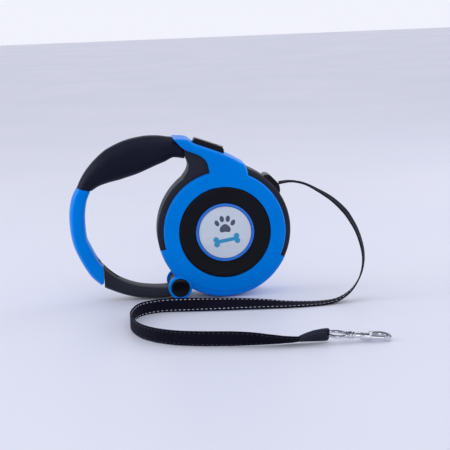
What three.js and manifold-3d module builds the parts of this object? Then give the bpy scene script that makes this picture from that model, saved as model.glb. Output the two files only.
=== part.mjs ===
// A retractable dog leash: a round reel case with a hand loop, a brake button on the neck, a hinged gate that
// closes the bottom of the loop, and a flat webbing tape that ends in a swivel snap hook.
// Millimetres. +Z is up, +X runs from the hand loop to the nozzle, and -Y is the front. The case stands on
// Z = 0, the object is the same on both sides of Y = 0, and X = 0 is halfway along its length.
// Outlines are drawn in the case's own frame: x to the right and z up from the reel's axis.

import * as THREE from "three";
import { mergeVertices } from "three/addons/utils/BufferGeometryUtils.js";
import Module from "manifold-3d";

const wasm = await Module();
wasm.setup();

// ---- driving dimensions ----
const CASE_R = 55.5;            // outer radius of the case
const CASE_HALF = 13;           // casing half shell: outer face from the middle plane
const WALL = 2;                 // flat walls of the casing
const CAVITY_R = 50.8;          // inner radius of the reel chamber
const SKIRT_WALL = 2.3;         // the covers' rim round the lower half of the case
const COVER_FACE = 18;          // outer face of the side covers
const RING_R = 50.5;            // blue ring on the side face
const DISC_R = 37.6;            // dark side disc inside the ring
const BADGE_R = 21.7;           // badge
const BADGE_RING_WALL = 2.1;    // bezel round the badge
const LOOP_REACH = 127;         // from the reel's axis to the outside of the hand loop
const GRIP_HALF = 13.5;         // grip, half thickness
const BOW_HALF = 10.5;          // bow, half thickness
const GATE_HALF = 9.5;          // gate arm, half thickness
const PIVOT = [-38.7, -44.8];   // gate hinge
const EAR_R = 9.9;              // ears of the covers round the gate hinge
const CAP_R = 7.6;              // hinge caps
const GATE_EYE_R = 7.8;
const PIN_R = 2.5;
const SPINDLE_R = 4;
const HUB_R = 20;               // drum that the tape winds on
const HUB_WALL = 2;
const PACK_R = 44;              // wound tape
const FLANGE_R = 45.2;          // reel flanges, and the foot of the ratchet teeth
const TOOTH_H = 2.2;
const TEETH = 24;
const TOOTH_FOOT = 0.42;        // share of the pitch that a tooth takes at its foot
const FLANGE_T = 1.2;
const TAPE_W = 11;
const TAPE_T = 1.2;
const FLANGE_IN = TAPE_W / 2 + 0.9;  // inner faces of the flanges from the middle plane
const NOZZLE_HALF = 9.4;
const SLOT_H = 4.8;             // tape slot of the nozzle
const BUTTON_HALF = 5.8;        // brake button, half width
const BUTTON_TRAVEL = 3;
const SCREW_HEAD_R = 2.5;
const SCREW_R = 1.1;
const RING_WIRE_R = 1.2;        // swivel ring of the snap hook
const RING_EYE_R = 6.9;
const GAP = 0.3;                // between pieces that touch
const RUN = 0.1;                // radial running clearance of a pin
const PARTING = GAP / 2;        // half the gap between the two half shells
const ROUND = 48;               // sides of a large circle

const CASE_X = (LOOP_REACH - CASE_R) / 2;
const CASE_Z = CASE_R;
const ROUTE_SHIFT = CASE_X - 35.75;  // the tape's route is laid from a reel axis at x = 35.75

// ---- solids ----
function solid(geometry) {
  const g = geometry.index ? geometry.toNonIndexed() : geometry.clone();
  g.deleteAttribute("normal");
  g.deleteAttribute("uv");
  const m = mergeVertices(g, 1e-4);
  return new wasm.Manifold(new wasm.Mesh({
    numProp: 3,
    vertProperties: m.attributes.position.array,
    triVerts: new Uint32Array(m.index.array),
  }));
}

function geometryOf(body) {
  const mesh = body.getMesh();
  const g = new THREE.BufferGeometry();
  const points = [];
  for (let i = 0; i < mesh.numVert; i++) {
    points.push(...mesh.vertProperties.slice(i * mesh.numProp, i * mesh.numProp + 3));
  }
  g.setAttribute("position", new THREE.Float32BufferAttribute(points, 3));
  g.setIndex(Array.from(mesh.triVerts));
  const flat = g.toNonIndexed();
  flat.computeVertexNormals();
  return flat;
}

const join = (first, ...rest) => rest.reduce((a, b) => a.add(b), first);
const cut = (first, ...rest) => rest.reduce((a, b) => a.subtract(b), first);

// An outline in x and z, as a plate between two values of y. round bevels the edges of both faces.
function plate(outline, low, high, round = 0) {
  const shape = outline instanceof THREE.Shape
    ? outline
    : new THREE.Shape(outline.map(([x, z]) => new THREE.Vector2(x, z)));
  const g = new THREE.ExtrudeGeometry(shape, {
    depth: high - low - 2 * round,
    bevelEnabled: round > 0,
    bevelThickness: round,
    bevelSize: round,
    bevelOffset: -round,
    bevelSegments: 1,
    curveSegments: 10,
  });
  g.translate(0, 0, round - high);
  g.rotateX(Math.PI / 2);
  return solid(g);
}

// A turned piece about an axis along y through (x, z). The profile is a closed list of radius and y.
function turned(profile, [x, z] = [0, 0], segments = ROUND) {
  const closed = [...profile, profile[0]];
  let area = 0;
  for (let i = 0; i < profile.length; i++) {
    area += closed[i][0] * closed[i + 1][1] - closed[i + 1][0] * closed[i][1];
  }
  if (area < 0) {
    closed.reverse();
  }
  const g = new THREE.LatheGeometry(closed.map(([r, y]) => new THREE.Vector2(r, y)), segments);
  g.translate(x, 0, z);
  return solid(g);
}

const disc = (r, low, high, at, segments) => turned([[0, low], [r, low], [r, high], [0, high]], at, segments);
const tube = (inner, outer, low, high, at, segments) =>
  turned([[inner, low], [outer, low], [outer, high], [inner, high]], at, segments);

function block(width, depth, height, [x, y, z]) {
  const g = new THREE.BoxGeometry(width, depth, height);
  g.translate(x, y, z);
  return solid(g);
}

// A closed outline grown outwards by a distance, corner by corner.
function grown(points, by) {
  const n = points.length;
  const area = points.reduce((sum, [x, z], i) => {
    const [u, w] = points[(i + 1) % n];
    return sum + x * w - u * z;
  }, 0);
  const side = area > 0 ? 1 : -1;
  return points.map((p, i) => {
    const a = new THREE.Vector2(...points[(i + n - 1) % n]);
    const b = new THREE.Vector2(...p);
    const c = new THREE.Vector2(...points[(i + 1) % n]);
    const d1 = b.clone().sub(a).normalize();
    const d2 = c.clone().sub(b).normalize();
    const n1 = new THREE.Vector2(d1.y, -d1.x).multiplyScalar(side);
    const n2 = new THREE.Vector2(d2.y, -d2.x).multiplyScalar(side);
    const mid = n1.clone().add(n2).normalize();
    const out = b.add(mid.multiplyScalar(by / Math.max(mid.dot(n1), 0.4)));
    return [out.x, out.y];
  });
}

// A sector of the case between two angles in degrees, as a wedge to cut with.
function sector(from, to, reach = 90, low = -40, high = 40) {
  const points = [[0, 0]];
  const steps = Math.ceil((to - from) / 20);
  for (let i = 0; i <= steps; i++) {
    const a = THREE.MathUtils.degToRad(from + (to - from) * i / steps);
    points.push([reach * Math.cos(a), reach * Math.sin(a)]);
  }
  return plate(points, low, high);
}

// A closed surface through rings of points, each ring with the same number of points.
function loft(rings) {
  const sides = rings[0].length;
  const positions = rings.flat().flatMap((p) => [p.x, p.y, p.z]);
  const index = [];
  for (let i = 0; i + 1 < rings.length; i++) {
    for (let j = 0; j < sides; j++) {
      const k = (j + 1) % sides;
      const a = i * sides + j;
      const b = i * sides + k;
      const c = a + sides;
      const d = b + sides;
      index.push(a, b, c, b, d, c);
    }
  }
  const last = (rings.length - 1) * sides;
  for (let j = 1; j + 1 < sides; j++) {
    index.push(0, j + 1, j, last, last + j, last + j + 1);
  }
  const g = new THREE.BufferGeometry();
  g.setAttribute("position", new THREE.Float32BufferAttribute(positions, 3));
  g.setIndex(index);
  const made = solid(g);
  if (made.volume() > 0) {
    return made;
  }
  g.setIndex(index.reverse());
  return solid(g);
}

// A bar that follows stations [x, z, half width, half thickness], with a rounded-square section.
function bar(stations, steps, sides = 16, squareness = 3) {
  const middle = new THREE.CatmullRomCurve3(stations.map(([x, z]) => new THREE.Vector3(x, 0, z)));
  const sizes = new THREE.CatmullRomCurve3(stations.map(([, , a, b]) => new THREE.Vector3(a, b, 0)));
  const rings = [];
  for (let i = 0; i <= steps; i++) {
    const p = middle.getPoint(i / steps);
    const t = middle.getTangent(i / steps);
    const s = sizes.getPoint(i / steps);
    const across = new THREE.Vector3(-t.z, 0, t.x);
    rings.push(Array.from({ length: sides }, (_, j) => {
      const angle = 2 * Math.PI * (j + 0.5) / sides;
      const c = Math.cos(angle);
      const w = Math.sin(angle);
      const u = Math.sign(c) * Math.abs(c) ** (2 / squareness) * s.x;
      const v = Math.sign(w) * Math.abs(w) ** (2 / squareness) * s.y;
      return p.clone().addScaledVector(across, u).add(new THREE.Vector3(0, v, 0));
    }));
  }
  return loft(rings);
}

// ---- outlines, in the case's frame ----
const LUNE_FROM = -166;         // the covers reach the full radius between these angles
const LUNE_TO = -26;

// Line between grip and bow, and between grip and neck.
const GRIP_AREA = [
  [-135, 45.4], [-100, 36.65], [-70, 30], [-31, 55], [-29.9, 61.5], [-31.6, 69.6], [-41, 80.4], [-44, 95], [-135, 95],
];

const GRIP_STATIONS = [
  [-116, 32, 5.6, 10.3], [-113.3, 40, 6.1, 10.8], [-107.6, 46.9, 8, 12], [-100, 52.6, 10.6, GRIP_HALF],
  [-88.6, 58.6, 13.7, GRIP_HALF], [-74.5, 63.8, 14.7, GRIP_HALF], [-60.5, 67.7, 13.4, GRIP_HALF],
  [-48.8, 69.6, 11.1, GRIP_HALF], [-38.7, 70.6, 8.4, 13], [-27, 69, 8.6, 12.6],
];

const BOW_STATIONS = [
  [-110.5, 47, 5.6, BOW_HALF], [-114, 39.7, 5.7, BOW_HALF], [-118, 31.5, 6.3, BOW_HALF],
  [-120.3, 20.5, 6.5, BOW_HALF], [-120.6, 7.4, 6.4, BOW_HALF], [-119.3, -3.7, 6.2, BOW_HALF],
  [-116.3, -11.8, 6.5, BOW_HALF], [-111.2, -22.6, 6.5, BOW_HALF], [-106.5, -29.7, 6.9, BOW_HALF],
  [-99.5, -36.5, 7, BOW_HALF],
];

const GATE_STATIONS = [
  [-106.5, -29.7, 6.9, 10.2], [-100.9, -35.7, 7, 10.2], [-92.2, -41.4, 6.2, GATE_HALF],
  [-81.7, -46, 5.7, GATE_HALF], [-72.5, -48.6, 5.5, GATE_HALF], [-63.4, -49.7, 5.2, GATE_HALF],
  [-54, -50.1, 4.8, 10.6], [-45.5, -49.6, 4.2, 12.2], [-39, -48.8, 4, 12.6],
];

const SPINE_HALF_H = 3.6;
const SPINE_HALF_W = 4.5;
const BOW_PIN = [-115.4, 34.4];
const BOW_PIN_R = 1.5;
const BOW_PIN_HALF = 8.5;

const JOINT_X = -101.4;         // where the bow meets the gate

// Neck of the casing, under the covers' roof.
const NECK = [
  [-37, 36], [-32.9, 44.9], [-29.4, 49.1], [-27.4, 53.6], [-27.6, 57.6], [-29.5, 61.4], [-31.2, 69.4],
  [-36.6, 75.6], [-28.4, 75.6], [-24.6, 71.2], [3.6, 60.6], [17.9, 51.9], [14, 36],
];

const ROOF_T = 2.3;
const ROOF = [[-40.2, 79], [-27.2, 78.3], [-23.5, 74.1], [4.5, 63.4], [19, 54.8]];
const UPPER_PLATE = [
  ...ROOF, [21.6, 45.4], [14, 32], [-8, 32], [-10.6, 48], [-11.3, 53.4], [-12.6, 59], [-17.2, 63.9], [-31.1, 69.7],
];

const NOZZLE = [
  [30.4, 38.9], [34.6, 44.2], [36.2, 45.2], [39.8, 44.7], [45.2, 38.8], [47.3, 36.6], [48.1, 32.6],
  [48, 28.8], [42.3, 25.4],
];
const NOZZLE_MOUTH = [47.2, 36.3];
const LEAD_START = [11.5, 44.5];  // where the tape leaves the wound pack

// Brake button: a group in the neck's slope, u along the slope and v out of it.
const BUTTON_AT = [-9.5, 70];
const BUTTON_TILT = Math.atan2(-10.7, 28);
const BUTTON_PROFILE = [
  [-14, 3.2], [10.6, 3.2], [12.6, 1.6], [13.4, -1], [13.4, -4], [-13.4, -4], [-14, -1],
];
const PAWL_U = 8;
const PAWL_HALF = 2.6;
const PAWL_Y = [4, 7.8];
const PAWL_TIP = -20.4;         // lowest point of the pawl, with the button up
const LOCK_U = [4.4, 12];       // recess of the lock in the button
const LOCK_HALF = 2.6;

const CASE_SCREWS = [[13.6, 50.9], [-23.4, 60.4], [41.9, -29.4], [0.9, -50.8], [-46.2, -21.5]];
const SCREW_BOSS_R = 2.6;
const BOSS_INNER = 47.9;        // the bosses stay outside the reel

// A point of the button's frame, in the case's frame.
function onSlope(u, v) {
  const c = Math.cos(BUTTON_TILT);
  const s = Math.sin(BUTTON_TILT);
  return [BUTTON_AT[0] + u * c - v * s, BUTTON_AT[1] + u * s + v * c];
}

function sloped(body) {
  const turn = THREE.MathUtils.radToDeg(-BUTTON_TILT);
  return body.rotate([0, turn, 0]).translate([BUTTON_AT[0], 0, BUTTON_AT[1]]);
}

// ---- the case ----
function casingHalf(side) {
  const low = -CASE_HALF;
  const rim = 3.2;
  let body = turned([
    [0, low], [CASE_R - rim, low], [CASE_R - 1, low + 1.4], [CASE_R, low + rim], [CASE_R, -PARTING], [0, -PARTING],
  ]);
  const inLune = tube(CASE_R - SKIRT_WALL - GAP, CASE_R + 2, low - 1, 1)
    .intersect(sector(LUNE_FROM - 0.3, LUNE_TO + 0.3));
  body = cut(body, inLune);
  body = cut(body, disc(CAVITY_R, low + WALL, 1));
  const round = disc(CASE_R - SKIRT_WALL - GAP, low + WALL / 2, -PARTING);
  body = join(body, disc(GATE_EYE_R + 1.5, low + WALL / 2, -PARTING, PIVOT, 32).intersect(round));
  for (const at of CASE_SCREWS) {
    const boss = disc(SCREW_BOSS_R, low + WALL / 2, -PARTING, at, 12);
    body = join(body, boss.intersect(tube(BOSS_INNER, CASE_R - SKIRT_WALL - GAP, low, -PARTING)));
  }
  const neck = cut(plate(NECK, -CASE_HALF, CASE_HALF, 1.6), disc(CAVITY_R, low + WALL, 20));
  const front = block(300, 40, 300, [0, -20 - PARTING, 0]);
  body = join(body, neck.intersect(front), spine(0).intersect(front));
  body = join(body, tube(SPINDLE_R + RUN, SPINDLE_R + 2.4, low + WALL / 2, low + WALL + 2.6, [0, 0], 24));
  body = cut(body, disc(SPINDLE_R + RUN, low + 1.2, low + WALL + 4, [0, 0], 24));
  body = cut(body, disc(GATE_EYE_R + 0.5, low - 1, 1, PIVOT, 32));
  body = cut(
    body,
    plate(grown(NOZZLE, GAP), -NOZZLE_HALF - GAP, NOZZLE_HALF + GAP),
    tapeSlot(),
    disc(BOW_PIN_R + RUN, -20, 20, BOW_PIN, 12),
  );
  if (side > 0) {
    body = body.mirror([0, 1, 0]);
  }
  // Well of the brake button, the channel of its pawl and the pocket of its spring.
  const well = sloped(block(29, 2 * BUTTON_HALF + 1, 20, [-0.3, 0, 10 - 4 - BUTTON_TRAVEL - 0.6]));
  const channel = sloped(block(
    2 * PAWL_HALF + 1.2,
    PAWL_Y[1] - PAWL_Y[0] + 0.8,
    40,
    [PAWL_U, (PAWL_Y[0] + PAWL_Y[1]) / 2, -12],
  ));
  const pocket = sloped(block(6, 6, 4, [-6, 0, -8.4]));
  body = cut(body, well, channel, pocket);
  // Screws run through the back half into blind holes of the front half.
  for (const at of CASE_SCREWS) {
    body = cut(body, side > 0
      ? join(disc(SCREW_R + RUN, -1, 30, at, 16), disc(SCREW_HEAD_R + GAP, CASE_HALF - 2, 30, at, 16))
      : disc(SCREW_R + RUN, -8.4, 1, at, 16));
  }
  return body;
}

// Blue side cover: ring, lower rim, ear of the gate hinge and the roof over the neck.
function cover(side) {
  const low = -COVER_FACE;
  const seat = -CASE_HALF - GAP;
  const ring = turned([
    [DISC_R + GAP, seat], [DISC_R + GAP, low + 0.8], [DISC_R + 1.1, low], [RING_R - 2.4, low],
    [RING_R - 0.7, low + 0.7], [RING_R, low + 2.4], [RING_R, seat],
  ]);
  const lune = turned([
    [44, seat], [44, low + 0.7], [RING_R + 0.6, low + 1], [CASE_R - 1.2, low + 3.2], [CASE_R, low + 6],
    [CASE_R, -PARTING], [CASE_R - SKIRT_WALL, -PARTING], [CASE_R - SKIRT_WALL, seat],
  ]).intersect(sector(LUNE_FROM, LUNE_TO));
  const ear = turned([
    [0, seat], [0, low + 0.5], [EAR_R - 1.4, low + 0.5], [EAR_R, low + 2], [EAR_R, seat],
  ], PIVOT, 32);
  const slab = block(300, COVER_FACE - CASE_HALF, 300, [0, (low + seat - GAP) / 2, 0]);
  const upper = plate(UPPER_PLATE, low + 0.4, low + 30, 2.4).intersect(slab);
  const inner = grown(ROOF.concat([[30, 20], [-60, 20]]), -ROOF_T).slice(0, ROOF.length).reverse();
  const roof = plate([...ROOF, ...inner], low + 2, -PARTING);
  let body = join(ring, lune, ear, upper, roof);
  body = cut(
    body,
    disc(DISC_R + GAP, low - 1, seat + 1),
    plate(grown(GRIP_AREA, GAP), -40, 40),
    plate(grown(NOZZLE, GAP), -NOZZLE_HALF - GAP, NOZZLE_HALF + GAP),
    disc(CAP_R + GAP, low - 1, low + 2.8, PIVOT, 32),
    disc(PIN_R + RUN, low - 1, 0, PIVOT, 24),
    disc(GATE_EYE_R + 0.5, seat + 0.2, 1, PIVOT, 32),
  );
  if (side > 0) {
    body = body.mirror([0, 1, 0]);
    for (const at of CASE_SCREWS) {
      body = cut(body, disc(SCREW_HEAD_R + GAP, 10, 30, at, 16));
    }
  }
  return cut(body, sloped(block(28.6, 2 * BUTTON_HALF + 2 * GAP, 20, [-0.3, 0, 6])));
}

function sideDisc() {
  const low = -COVER_FACE;
  const badgeSeat = BADGE_R + BADGE_RING_WALL + 2 * GAP;
  const share = (f) => badgeSeat + f * (DISC_R - badgeSeat);
  return turned([
    [0, -CASE_HALF - GAP], [0, low + 2.6], [badgeSeat, low + 2.6], [badgeSeat, low + 1.2],
    [share(0.27), low + 0.9], [share(0.73), low + 0.3], [DISC_R - 1, low], [DISC_R, low + 0.6],
    [DISC_R, -CASE_HALF - GAP],
  ]);
}

function badgeRing() {
  const low = -COVER_FACE;
  const inner = BADGE_R + GAP;
  const outer = inner + BADGE_RING_WALL;
  return turned([
    [inner, low + 2.3], [inner, low + 0.2], [inner + 0.7, low - 0.5], [outer - 0.6, low - 0.3], [outer, low + 0.5],
    [outer, low + 2.3],
  ], [0, 0], 40);
}

function badge() {
  const low = -COVER_FACE;
  return turned([
    [0, low + 2.3], [0, low - 0.4], [BADGE_R * 0.6, low - 0.25], [BADGE_R - 0.6, low + 0.1], [BADGE_R, low + 0.6],
    [BADGE_R, low + 2.3],
  ], [0, 0], 40);
}

// ---- the hand loop ----
// The casing's spine in the grip, grown by a clearance where it is used as a cutter.
function spine(clearance) {
  const stations = GRIP_STATIONS.map(([x, z]) => [x, z, SPINE_HALF_H + clearance, SPINE_HALF_W + clearance]);
  return bar(stations, 16, 8, 8);
}

function grip() {
  const body = bar(GRIP_STATIONS, 20, 14, 2.8);
  return cut(body.intersect(plate(GRIP_AREA, -40, 40)), spine(GAP));
}

const CATCH = [
  [-100.9, -36.2], [-93.6, -36.2], [-93.6, -34], [-98.2, -29.6], [-101.6, -25.4], [-104.2, -20.2],
  [-106.2, -21.2], [-102.9, -27.9], [-100.9, -28.8],
];
const CATCH_HALF = 2.8;

function bow() {
  const belowGrip = GRIP_AREA.slice(0, 2).map(([x, z]) => [x, z - GAP]);
  const keep = [...belowGrip, [-100, -60], [-135, -60]];
  let body = bar(BOW_STATIONS, 22, 14, 2.8).intersect(plate(keep, -40, 40));
  body = body.intersect(block(100, 60, 200, [JOINT_X - 50, 0, 0]));
  const notch = [[-107.6, -21.6], [-103.6, -29.3], [-100, -29.3], [-100, -12], [-104, -12]];
  return cut(
    body,
    spine(GAP),
    plate(notch, -CATCH_HALF - GAP, CATCH_HALF + GAP),
    disc(BOW_PIN_R + RUN, -BOW_PIN_HALF - GAP, BOW_PIN_HALF + GAP, BOW_PIN, 12),
  );
}

function gateArm() {
  const right = block(140, 60, 200, [JOINT_X + GAP + 70, 0, 0]);
  let body = bar(GATE_STATIONS, 20, 14, 2.8).intersect(right);
  body = join(body, turned([
    [PIN_R + RUN, -12.7], [GATE_EYE_R - 1, -12.7], [GATE_EYE_R, -11.7], [GATE_EYE_R, 11.7], [GATE_EYE_R - 1, 12.7],
    [PIN_R + RUN, 12.7],
  ], PIVOT, 32));
  body = cut(body, disc(PIN_R + RUN, -20, 20, PIVOT, 24));
  return cut(body, block(14, 2 * (CATCH_HALF + GAP), 30, [JOINT_X + 6.6, 0, -36.6 + 15]));
}

// ---- the reel, inside the case ----
function ratchetOutline() {
  const shape = new THREE.Shape();
  const pitch = 2 * Math.PI / TEETH;
  const [x, z] = onSlope(PAWL_U, PAWL_TIP - BUTTON_TRAVEL);
  const phase = Math.atan2(z, x) - pitch * (TOOTH_FOOT + 1) / 2;
  for (let i = 0; i < TEETH; i++) {
    const a = phase + i * pitch;
    const corners = [
      [FLANGE_R, 0], [FLANGE_R + TOOTH_H, 0.1], [FLANGE_R + TOOTH_H, 0.3], [FLANGE_R, TOOTH_FOOT], [FLANGE_R, 0.7],
    ];
    for (const [r, part] of corners) {
      const at = a + part * pitch;
      const point = [r * Math.cos(at), r * Math.sin(at)];
      if (i || part || r > FLANGE_R) {
        shape.lineTo(...point);
      } else {
        shape.moveTo(...point);
      }
    }
  }
  return shape;
}

function reel() {
  const a = FLANGE_IN;
  const b = FLANGE_IN + FLANGE_T;
  const drum = turned([
    [SPINDLE_R + 2.4, -b], [FLANGE_R, -b], [FLANGE_R, -a], [HUB_R, -a], [HUB_R, a + 0.1], [HUB_R - HUB_WALL, a + 0.1],
    [HUB_R - HUB_WALL, -a], [SPINDLE_R + 2.4, -a],
  ]);
  const toothed = cut(plate(ratchetOutline(), a, b), disc(HUB_R - HUB_WALL, 0, 20));
  return join(drum, toothed);
}

function powerSpring() {
  const turns = 5;
  const steps = 12 * turns;
  const first = SPINDLE_R + 0.7;
  const last = HUB_R - HUB_WALL - 0.9;
  const outer = [];
  const inner = [];
  for (let i = 0; i <= steps; i++) {
    const r = first + (last - first) * i / steps;
    const a = 2 * Math.PI * turns * i / steps;
    outer.push([(r + 0.3) * Math.cos(a), (r + 0.3) * Math.sin(a)]);
    inner.push([(r - 0.3) * Math.cos(a), (r - 0.3) * Math.sin(a)]);
  }
  return plate([...outer, ...inner.reverse()], -5.7, 5.7);
}

function coilSpring(radius, wire, length, turns) {
  const points = [];
  for (let i = 0; i <= turns * 7; i++) {
    const a = i / 7 * 2 * Math.PI;
    const rise = wire + (length - 2 * wire) * i / (turns * 7);
    points.push(new THREE.Vector3(radius * Math.cos(a), radius * Math.sin(a), rise));
  }
  const section = new THREE.Shape();
  section.absarc(0, 0, wire, 0, 2 * Math.PI);
  return solid(new THREE.ExtrudeGeometry(section, {
    steps: points.length - 1,
    curveSegments: 4,
    extrudePath: new THREE.CatmullRomCurve3(points),
    bevelEnabled: false,
  }));
}

// ---- brake ----
function brakeButton() {
  const body = plate(BUTTON_PROFILE, -BUTTON_HALF, BUTTON_HALF, 0.8);
  const recess = block(LOCK_U[1] - LOCK_U[0], 2 * LOCK_HALF, 10, [(LOCK_U[0] + LOCK_U[1]) / 2, 0, 6.6]);
  return cut(body, recess);
}

function brakePawl() {
  const top = -4 - GAP;
  return plate([
    [PAWL_U - PAWL_HALF, top], [PAWL_U + PAWL_HALF, top], [PAWL_U + PAWL_HALF, -16], [PAWL_U + 1.2, PAWL_TIP],
    [PAWL_U - 1.2, PAWL_TIP], [PAWL_U - PAWL_HALF, -16],
  ], ...PAWL_Y);
}

function brakeLock() {
  const u = LOCK_U[1] - GAP - 2.2;
  const g = new THREE.CylinderGeometry(1.7, 2.2, 2.2, 20);
  g.rotateX(Math.PI / 2);
  g.translate(u, 0, 1.6 + GAP + 1.1);
  return join(solid(g), block(4.4, 2 * (LOCK_HALF - GAP), 0.9, [u, 0, 1.6 + GAP + 0.45]));
}

// ---- nozzle ----
function nozzleGuide() {
  const body = plate(NOZZLE, -NOZZLE_HALF, NOZZLE_HALF, 1);
  return cut(body, tapeSlot());
}

// The tape's way out, along the line from the wound pack to the nozzle's mouth.
function tapeSlot() {
  const [x, z] = NOZZLE_MOUTH;
  const fall = Math.atan2(LEAD_START[1] - z, x - LEAD_START[0]);
  return block(50, TAPE_W + 2.4, SLOT_H, [0, 0, 0])
    .rotate([0, THREE.MathUtils.radToDeg(fall), 0])
    .translate([x, 0, z]);
}

// ---- tape ----
// Middle of the free tape, and how far its width is turned from level (0) to upright (90), in degrees.
// Positions are in the part's own frame.
const TAPE_ROUTE = [
  [83.6, 0, 91.8, 0], [91.2, -1, 92.8, 2], [97.3, -2.5, 92.5, 3], [105.2, -5.5, 90.6, 0], [115.7, -11, 85.1, -7],
  [126, -17, 78.1, -15], [135, -23.5, 68.7, -22], [139.6, -28, 60.9, -22], [142.9, -32.5, 53.2, -21],
  [145.3, -37, 43.4, -21], [145.9, -41, 34.8, -20], [144.7, -44.5, 27.1, -19], [142, -47.5, 20, -18],
  [138.2, -50, 14.2, -17], [134, -51.8, 9.6, -14], [129, -53.4, 6, -10], [120.7, -55.5, 2.5, -4],
  [109.4, -57.6, 1.3, 2], [91.6, -59.4, 1.7, 8], [76.8, -59.4, 2.4, 16], [63.3, -58.6, 3.4, 27],
  [45.9, -57.7, 4.4, 40], [29.2, -56.8, 5, 51], [1, -54.6, 5.6, 67], [-14, -53.2, 5.8, 78], [-26, -54.6, 5.8, 87],
  [-37.5, -62, 5.8, 90], [-44.2, -78, 5.8, 90], [-46, -97, 5.8, 90], [-43.2, -114, 5.8, 90],
  [-37.6, -128, 5.8, 90], [-28, -140, 5.8, 90], [-14, -149.8, 5.8, 90], [4, -156.2, 5.8, 90],
  [24, -160.8, 5.8, 87], [38, -164, 5.7, 72], [50, -166.6, 5.2, 55], [61, -167.8, 4.5, 41], [70.6, -167.8, 4.2, 33],
];
const TAPE_STEPS = 76;

// The tape's width direction: level across the run at 0, upright at 90, and turning smoothly between.
function widthAt(along, turn) {
  const level = new THREE.Vector3(0, 1, 0).addScaledVector(along, -along.y).normalize();
  const rise = new THREE.Vector3().crossVectors(level, along);
  const early = level.multiplyScalar(Math.cos(turn)).addScaledVector(rise, Math.sin(turn));
  const up = new THREE.Vector3(0, 0, 1).addScaledVector(along, -along.z).normalize();
  const flat = new THREE.Vector3().crossVectors(along, up);
  const late = up.multiplyScalar(Math.sin(turn)).addScaledVector(flat, Math.cos(turn));
  const share = THREE.MathUtils.smoothstep(turn, 0.5, 1.4);
  if (share > 0 && early.dot(late) < 0) early.negate();
  return early.lerp(late, share).normalize();
}

// Eight points round a flat section with softened edges.
function flatSection(p, along, width, half, thick) {
  const side = new THREE.Vector3().crossVectors(along, width).normalize();
  const t = thick / 2;
  const soft = Math.min(0.4, half / 4);
  const corners = [
    [half, 0.3 * t], [half - soft, t], [soft - half, t], [-half, 0.3 * t],
    [-half, -0.3 * t], [soft - half, -t], [half - soft, -t], [half, -0.3 * t],
  ];
  return corners.map(([u, v]) => p.clone().addScaledVector(width, u).addScaledVector(side, v));
}

// Rings along a route of [x, y, z, turn, half width, thickness].
function flatRings(route, steps) {
  const middle = new THREE.CatmullRomCurve3(route.map(([x, y, z]) => new THREE.Vector3(x, y, z)));
  const last = route.length - 1;
  return Array.from({ length: steps + 1 }, (_, i) => {
    const t = i / steps;
    const k = Math.min(Math.floor(t * last), last - 1);
    const between = (n, fallback) => route[0][n] === undefined
      ? fallback
      : THREE.MathUtils.lerp(route[k][n], route[k + 1][n], t * last - k);
    const along = middle.getTangent(t);
    const turn = THREE.MathUtils.degToRad(between(3));
    return flatSection(middle.getPoint(t), along, widthAt(along, turn), between(4, TAPE_W / 2), between(5, TAPE_T));
  });
}

const freeTape = () => loft(flatRings(TAPE_ROUTE, TAPE_STEPS));

// The straight stretch from the wound pack to the nozzle.
function tapeLead() {
  const mouth = new THREE.Vector3(NOZZLE_MOUTH[0] - 0.6, 0, NOZZLE_MOUTH[1] + 0.1);
  const start = new THREE.Vector3(LEAD_START[0], 0, LEAD_START[1]);
  const along = mouth.clone().sub(start).normalize();
  const width = new THREE.Vector3(0, 1, 0);
  return loft([start, mouth].map((p) => flatSection(p, along, width, TAPE_W / 2, TAPE_T)));
}

// Folded end of the tape in its sleeve, round the swivel ring: [x, y, z, turn, half height, thickness].
const SLEEVE_ROUTE = [
  [71.5, -167.8, 4.3, 33, 5.6, 2.4], [75.1, -167.7, 5, 38, 5.7, 3.2], [81.6, -167.3, 5.8, 50, 5.8, 4],
  [88.6, -166.9, 6.1, 58, 5.8, 4.2], [93.4, -166.5, 6.1, 62, 5.6, 3.6],
];

// ---- snap hook, in a group whose x runs along the hook from the middle of its ring ----
const HOOK_AT = [99.2, -166.9, 5.8];
const HOOK_HEADING = THREE.MathUtils.degToRad(-7.2);
const HOOK_SLOPE = THREE.MathUtils.degToRad(5);
const POST_R = 1.4;
const BARREL_R = 2.7;
const BARREL_FROM = 16.4;
const BARREL_END = 24.5;
const BOLT_R = 1.25;
const BOLT_Y = -2.2;
const HOOK_WIRE_R = 1.8;
const MOUTH_END = 37 - HOOK_WIRE_R - 1;

function rod(r, from, to, [y, z] = [0, 0], segments = 16, rTo = r) {
  const g = new THREE.CylinderGeometry(rTo, r, to - from, segments);
  g.rotateZ(-Math.PI / 2);
  g.translate((from + to) / 2, y, z);
  return solid(g);
}

function swivelRing(wire = RING_WIRE_R) {
  const g = new THREE.TorusGeometry(RING_EYE_R, wire, 7, 24);
  return solid(g);
}

function swivelEye() {
  const inside = RING_EYE_R - RING_WIRE_R;
  return cut(join(swivelRing(), rod(2.7, inside + 0.5, RING_EYE_R + 3.6)), rod(POST_R + RUN + 0.05, 0, 20));
}

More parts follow.
